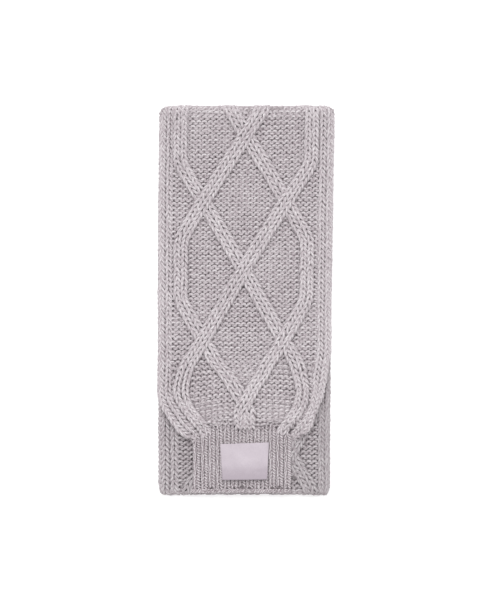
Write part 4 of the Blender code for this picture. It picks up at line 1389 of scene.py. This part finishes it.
class SCARF_OT_cuffs(bpy.types.Operator):
    """Knit the two ribbed cuffs"""

    bl_idname = "scarf.cuffs"
    bl_label = "Knit the cuffs"

    def execute(self, context):
        front = yarn_material("cuff_yarn", CUFF_YARN)
        # A darker copy of the cuffs' yarn, as painted shade where this cuff lies under the front cuff.
        under = yarn_material("under_cuff_yarn", CUFF_YARN, UNDER_CUFF_SHADE_SHARE)
        self.cuff("front_cuff", FRONT_CUFF, RIB_START[0], range(RIBS), front)
        self.cuff("under_cuff", UNDER_CUFF, UNDER_CUFF_START, range(RIBS - UNDER_CUFF_RIBS, RIBS), under)
        return {"FINISHED"}

    def cuff(self, name, cuff, first, ribs, yarn):
        place = cuff_surface(cuff)
        length = cuff.top_y - cuff.bottom_y
        width = cuff.right - cuff.left
        across = (1.0 / width, 0.0)
        up = (0.0, -1.0 / length)
        turn = np.linspace(-PI, PI, POINTS + 1)
        guides = Guides()
        for rib in ribs:
            u = (rib + 0.5) / RIBS + RIB_STITCH * turn / TURN / width
            start = first + RIB_START[1] * math.sin(RIB_SHIFT * rib)
            for row in np.arange(start, RIB_END, CUFF_ROW / length):
                h = RIB_H - RIB_DEPTH * smooth((start + RIB_RISE - row) / RIB_RISE)
                guides.add(place, u, row, h, turn, across, up, true_wale=False)
        pieces = [knit(name + "_ribs", guides, RIB, RIB_STITCH, CUFF_ROW, yarn, CUFF_SLOT)]
        chain = Guides()
        back = (-1.0 / width, 0.0)
        for u in np.arange((ribs[0] + CHAIN_START) / RIBS, 1.0, CHAIN_STITCH / width):
            s = CHAIN_S - CHAIN_STITCH * turn / TURN / length
            chain.add(place, u, s, CHAIN_H, turn, up, back, true_wale=False)
        pieces.append(knit(name + "_bind_off", chain, CHAIN, CHAIN_STITCH, CHAIN_STITCH, yarn, CUFF_SLOT,
                           SIDES - 1))

        def face(u, s):
            return np.full(np.shape(u), CUFF_CLOTH_H)

        def bare(u, s):
            return smooth((s - CUFF_BARE[0]) / CUFF_BARE[1])

        # The cuffs' cloth is darker than the panels', as painted shade in the grooves between the ribs.
        deep = shell_material("cuff_cloth", scaled(bpy.context.scene.scarf_colours.cloth, CUFF_CLOTH_SHADE))
        made = cloth(name + "_cloth", place, np.linspace(0.0, 1.0, 4 * RIBS + 1),
                     np.linspace(0.0, CUFF_CLOTH_END, CUFF_CLOTH_ROWS), face, CUFF_CLOTH_THICKNESS, deep,
                     CUFF_SLOT, name, bare=bare, gauge=(1.0 / RIBS, CUFF_ROW / length))


class SCARF_OT_label(bpy.types.Operator):
    """Weave the blank satin label and lay it on the front cuff"""

    bl_idname = "scarf.label"
    bl_label = "Weave the label"

    def execute(self, context):
        colours = context.scene.scarf_colours
        satin = satin_material("woven_satin", colours.satin_light, colours.satin_shade)

        def place(u, s, h):
            u, s, h = np.broadcast_arrays(np.asarray(u, float), s, h)
            x = lerp(lerp(LABEL_TOP_LEFT.x, LABEL_TOP_RIGHT.x, u),
                     lerp(LABEL_BOTTOM_LEFT.x, LABEL_BOTTOM_RIGHT.x, u), s)
            y = lerp(lerp(LABEL_TOP_LEFT.y, LABEL_TOP_RIGHT.y, u),
                     lerp(LABEL_BOTTOM_LEFT.y, LABEL_BOTTOM_RIGHT.y, u), s)
            wave = LABEL_WAVE * np.sin(TURN * LABEL_WAVES * u + WAVE_SLANT * s)
            bulge = LABEL_BULGE * np.sin(PI * u) + wave
            crease = LABEL_CREASE * np.exp(-((s - CREASE_S) / CREASE_WIDTH) ** 2)
            crease = crease * (CREASE_MEAN + CREASE_SWING * np.cos(TURN * u))
            z = LABEL_FACE + bulge - crease + LABEL_LIFT * s ** 4 + h
            return np.stack([x, y, z], axis=-1)

        def face(u, s):
            return np.full(np.shape(u), LABEL_THICKNESS)

        made = cloth("label_cloth", place, np.linspace(0.0, 1.0, LABEL_COLUMNS),
                     np.linspace(0.0, 1.0, LABEL_ROWS), face, LABEL_THICKNESS, satin, LABEL_SLOT, "label")
        return {"FINISHED"}


class SCARF_OT_stage(bpy.types.Operator):
    """Set the floor, the lights and the camera over the scarf"""

    bl_idname = "scarf.stage"
    bl_label = "Set the stage"

    def execute(self, context):
        scene = context.scene
        half = FLOOR_HALF
        data = bpy.data.meshes.new("floor")
        data.from_pydata([(-half, -half, 0), (half, -half, 0), (half, half, 0), (-half, half, 0)], [],
                         [(0, 1, 2, 3)])
        material, tree, shader = new_material("floor_paint", roughness=0.8, sheen=0.0, specular=0.2)
        floor = scene.scarf_colours.floor
        drift = noise(tree, object_place(tree), 3.0)
        mixed = mix(tree, drift, scaled(floor, FLOOR_PALE), floor)
        tree.links.new(mixed, shader.inputs["Base Color"])
        shader.inputs["Emission Color"].default_value = (1.0, 1.0, 1.0, 1.0)
        shader.inputs["Emission Strength"].default_value = FLOOR_GLOW
        data.materials.append(material)
        link_object("floor", data)
        self.lights(scene)
        self.camera(scene)
        scene.view_settings.view_transform = "Standard"
        return {"FINISHED"}

    def lights(self, scene):
        world = bpy.data.worlds.new("studio")
        scene.world = world
        world.use_nodes = True
        background = world.node_tree.nodes["Background"]
        background.inputs["Color"].default_value = (1.0, 1.0, 1.0, 1.0)
        background.inputs["Strength"].default_value = SKY
        window = bpy.data.lights.new("window", "SUN")
        window.energy = WINDOW
        window.angle = WINDOW_SPREAD
        fill = bpy.data.lights.new("fill", "AREA")
        fill.energy = FILL
        fill.size = FILL_SIZE
        for light, place, turn in ((window, WINDOW_PLACE, WINDOW_TURN), (fill, FILL_PLACE, FILL_TURN)):
            made = link_object(light.name, light)
            made.location = place
            made.rotation_euler = turn

    def camera(self, scene):
        data = bpy.data.cameras.new("camera")
        data.sensor_width = SENSOR
        data.lens = SENSOR * CAMERA_DISTANCE / SEEN_LENGTH
        made = link_object("camera", data)
        made.location = (*CAMERA_PLACE, CAMERA_DISTANCE + 4.0 * LAYER)
        scene.camera = made


class SCARF_PT_panel(bpy.types.Panel):
    """The scarf's sizes, colours and pieces"""

    bl_label = "Scarf"
    bl_idname = "SCARF_PT_panel"
    bl_space_type = "VIEW_3D"
    bl_region_type = "UI"
    bl_category = "Scarf"

    def draw(self, context):
        layout = self.layout
        for group in (context.scene.scarf_yarn, context.scene.scarf_colours):
            for name in group.__annotations__:
                layout.prop(group, name)
        for operator in OPERATORS:
            layout.operator(operator.bl_idname)


GROUPS = (ScarfYarn, ScarfColours)
OPERATORS = (SCARF_OT_folded_layers, SCARF_OT_lower_panel, SCARF_OT_front_panel, SCARF_OT_cuffs,
             SCARF_OT_label, SCARF_OT_stage)
CLASSES = GROUPS + OPERATORS + (SCARF_PT_panel,)


def register():
    for made in CLASSES:
        bpy.utils.register_class(made)
    bpy.types.Scene.scarf_yarn = bpy.props.PointerProperty(type=ScarfYarn)
    bpy.types.Scene.scarf_colours = bpy.props.PointerProperty(type=ScarfColours)


def unregister():
    del bpy.types.Scene.scarf_yarn
    del bpy.types.Scene.scarf_colours
    for made in reversed(CLASSES):
        bpy.utils.unregister_class(made)


def main():
    register()
    bpy.ops.scarf.folded_layers()
    bpy.ops.scarf.lower_panel()
    bpy.ops.scarf.front_panel()
    bpy.ops.scarf.cuffs()
    bpy.ops.scarf.label()
    bpy.ops.scarf.stage()


if __name__ == "__main__":
    main()
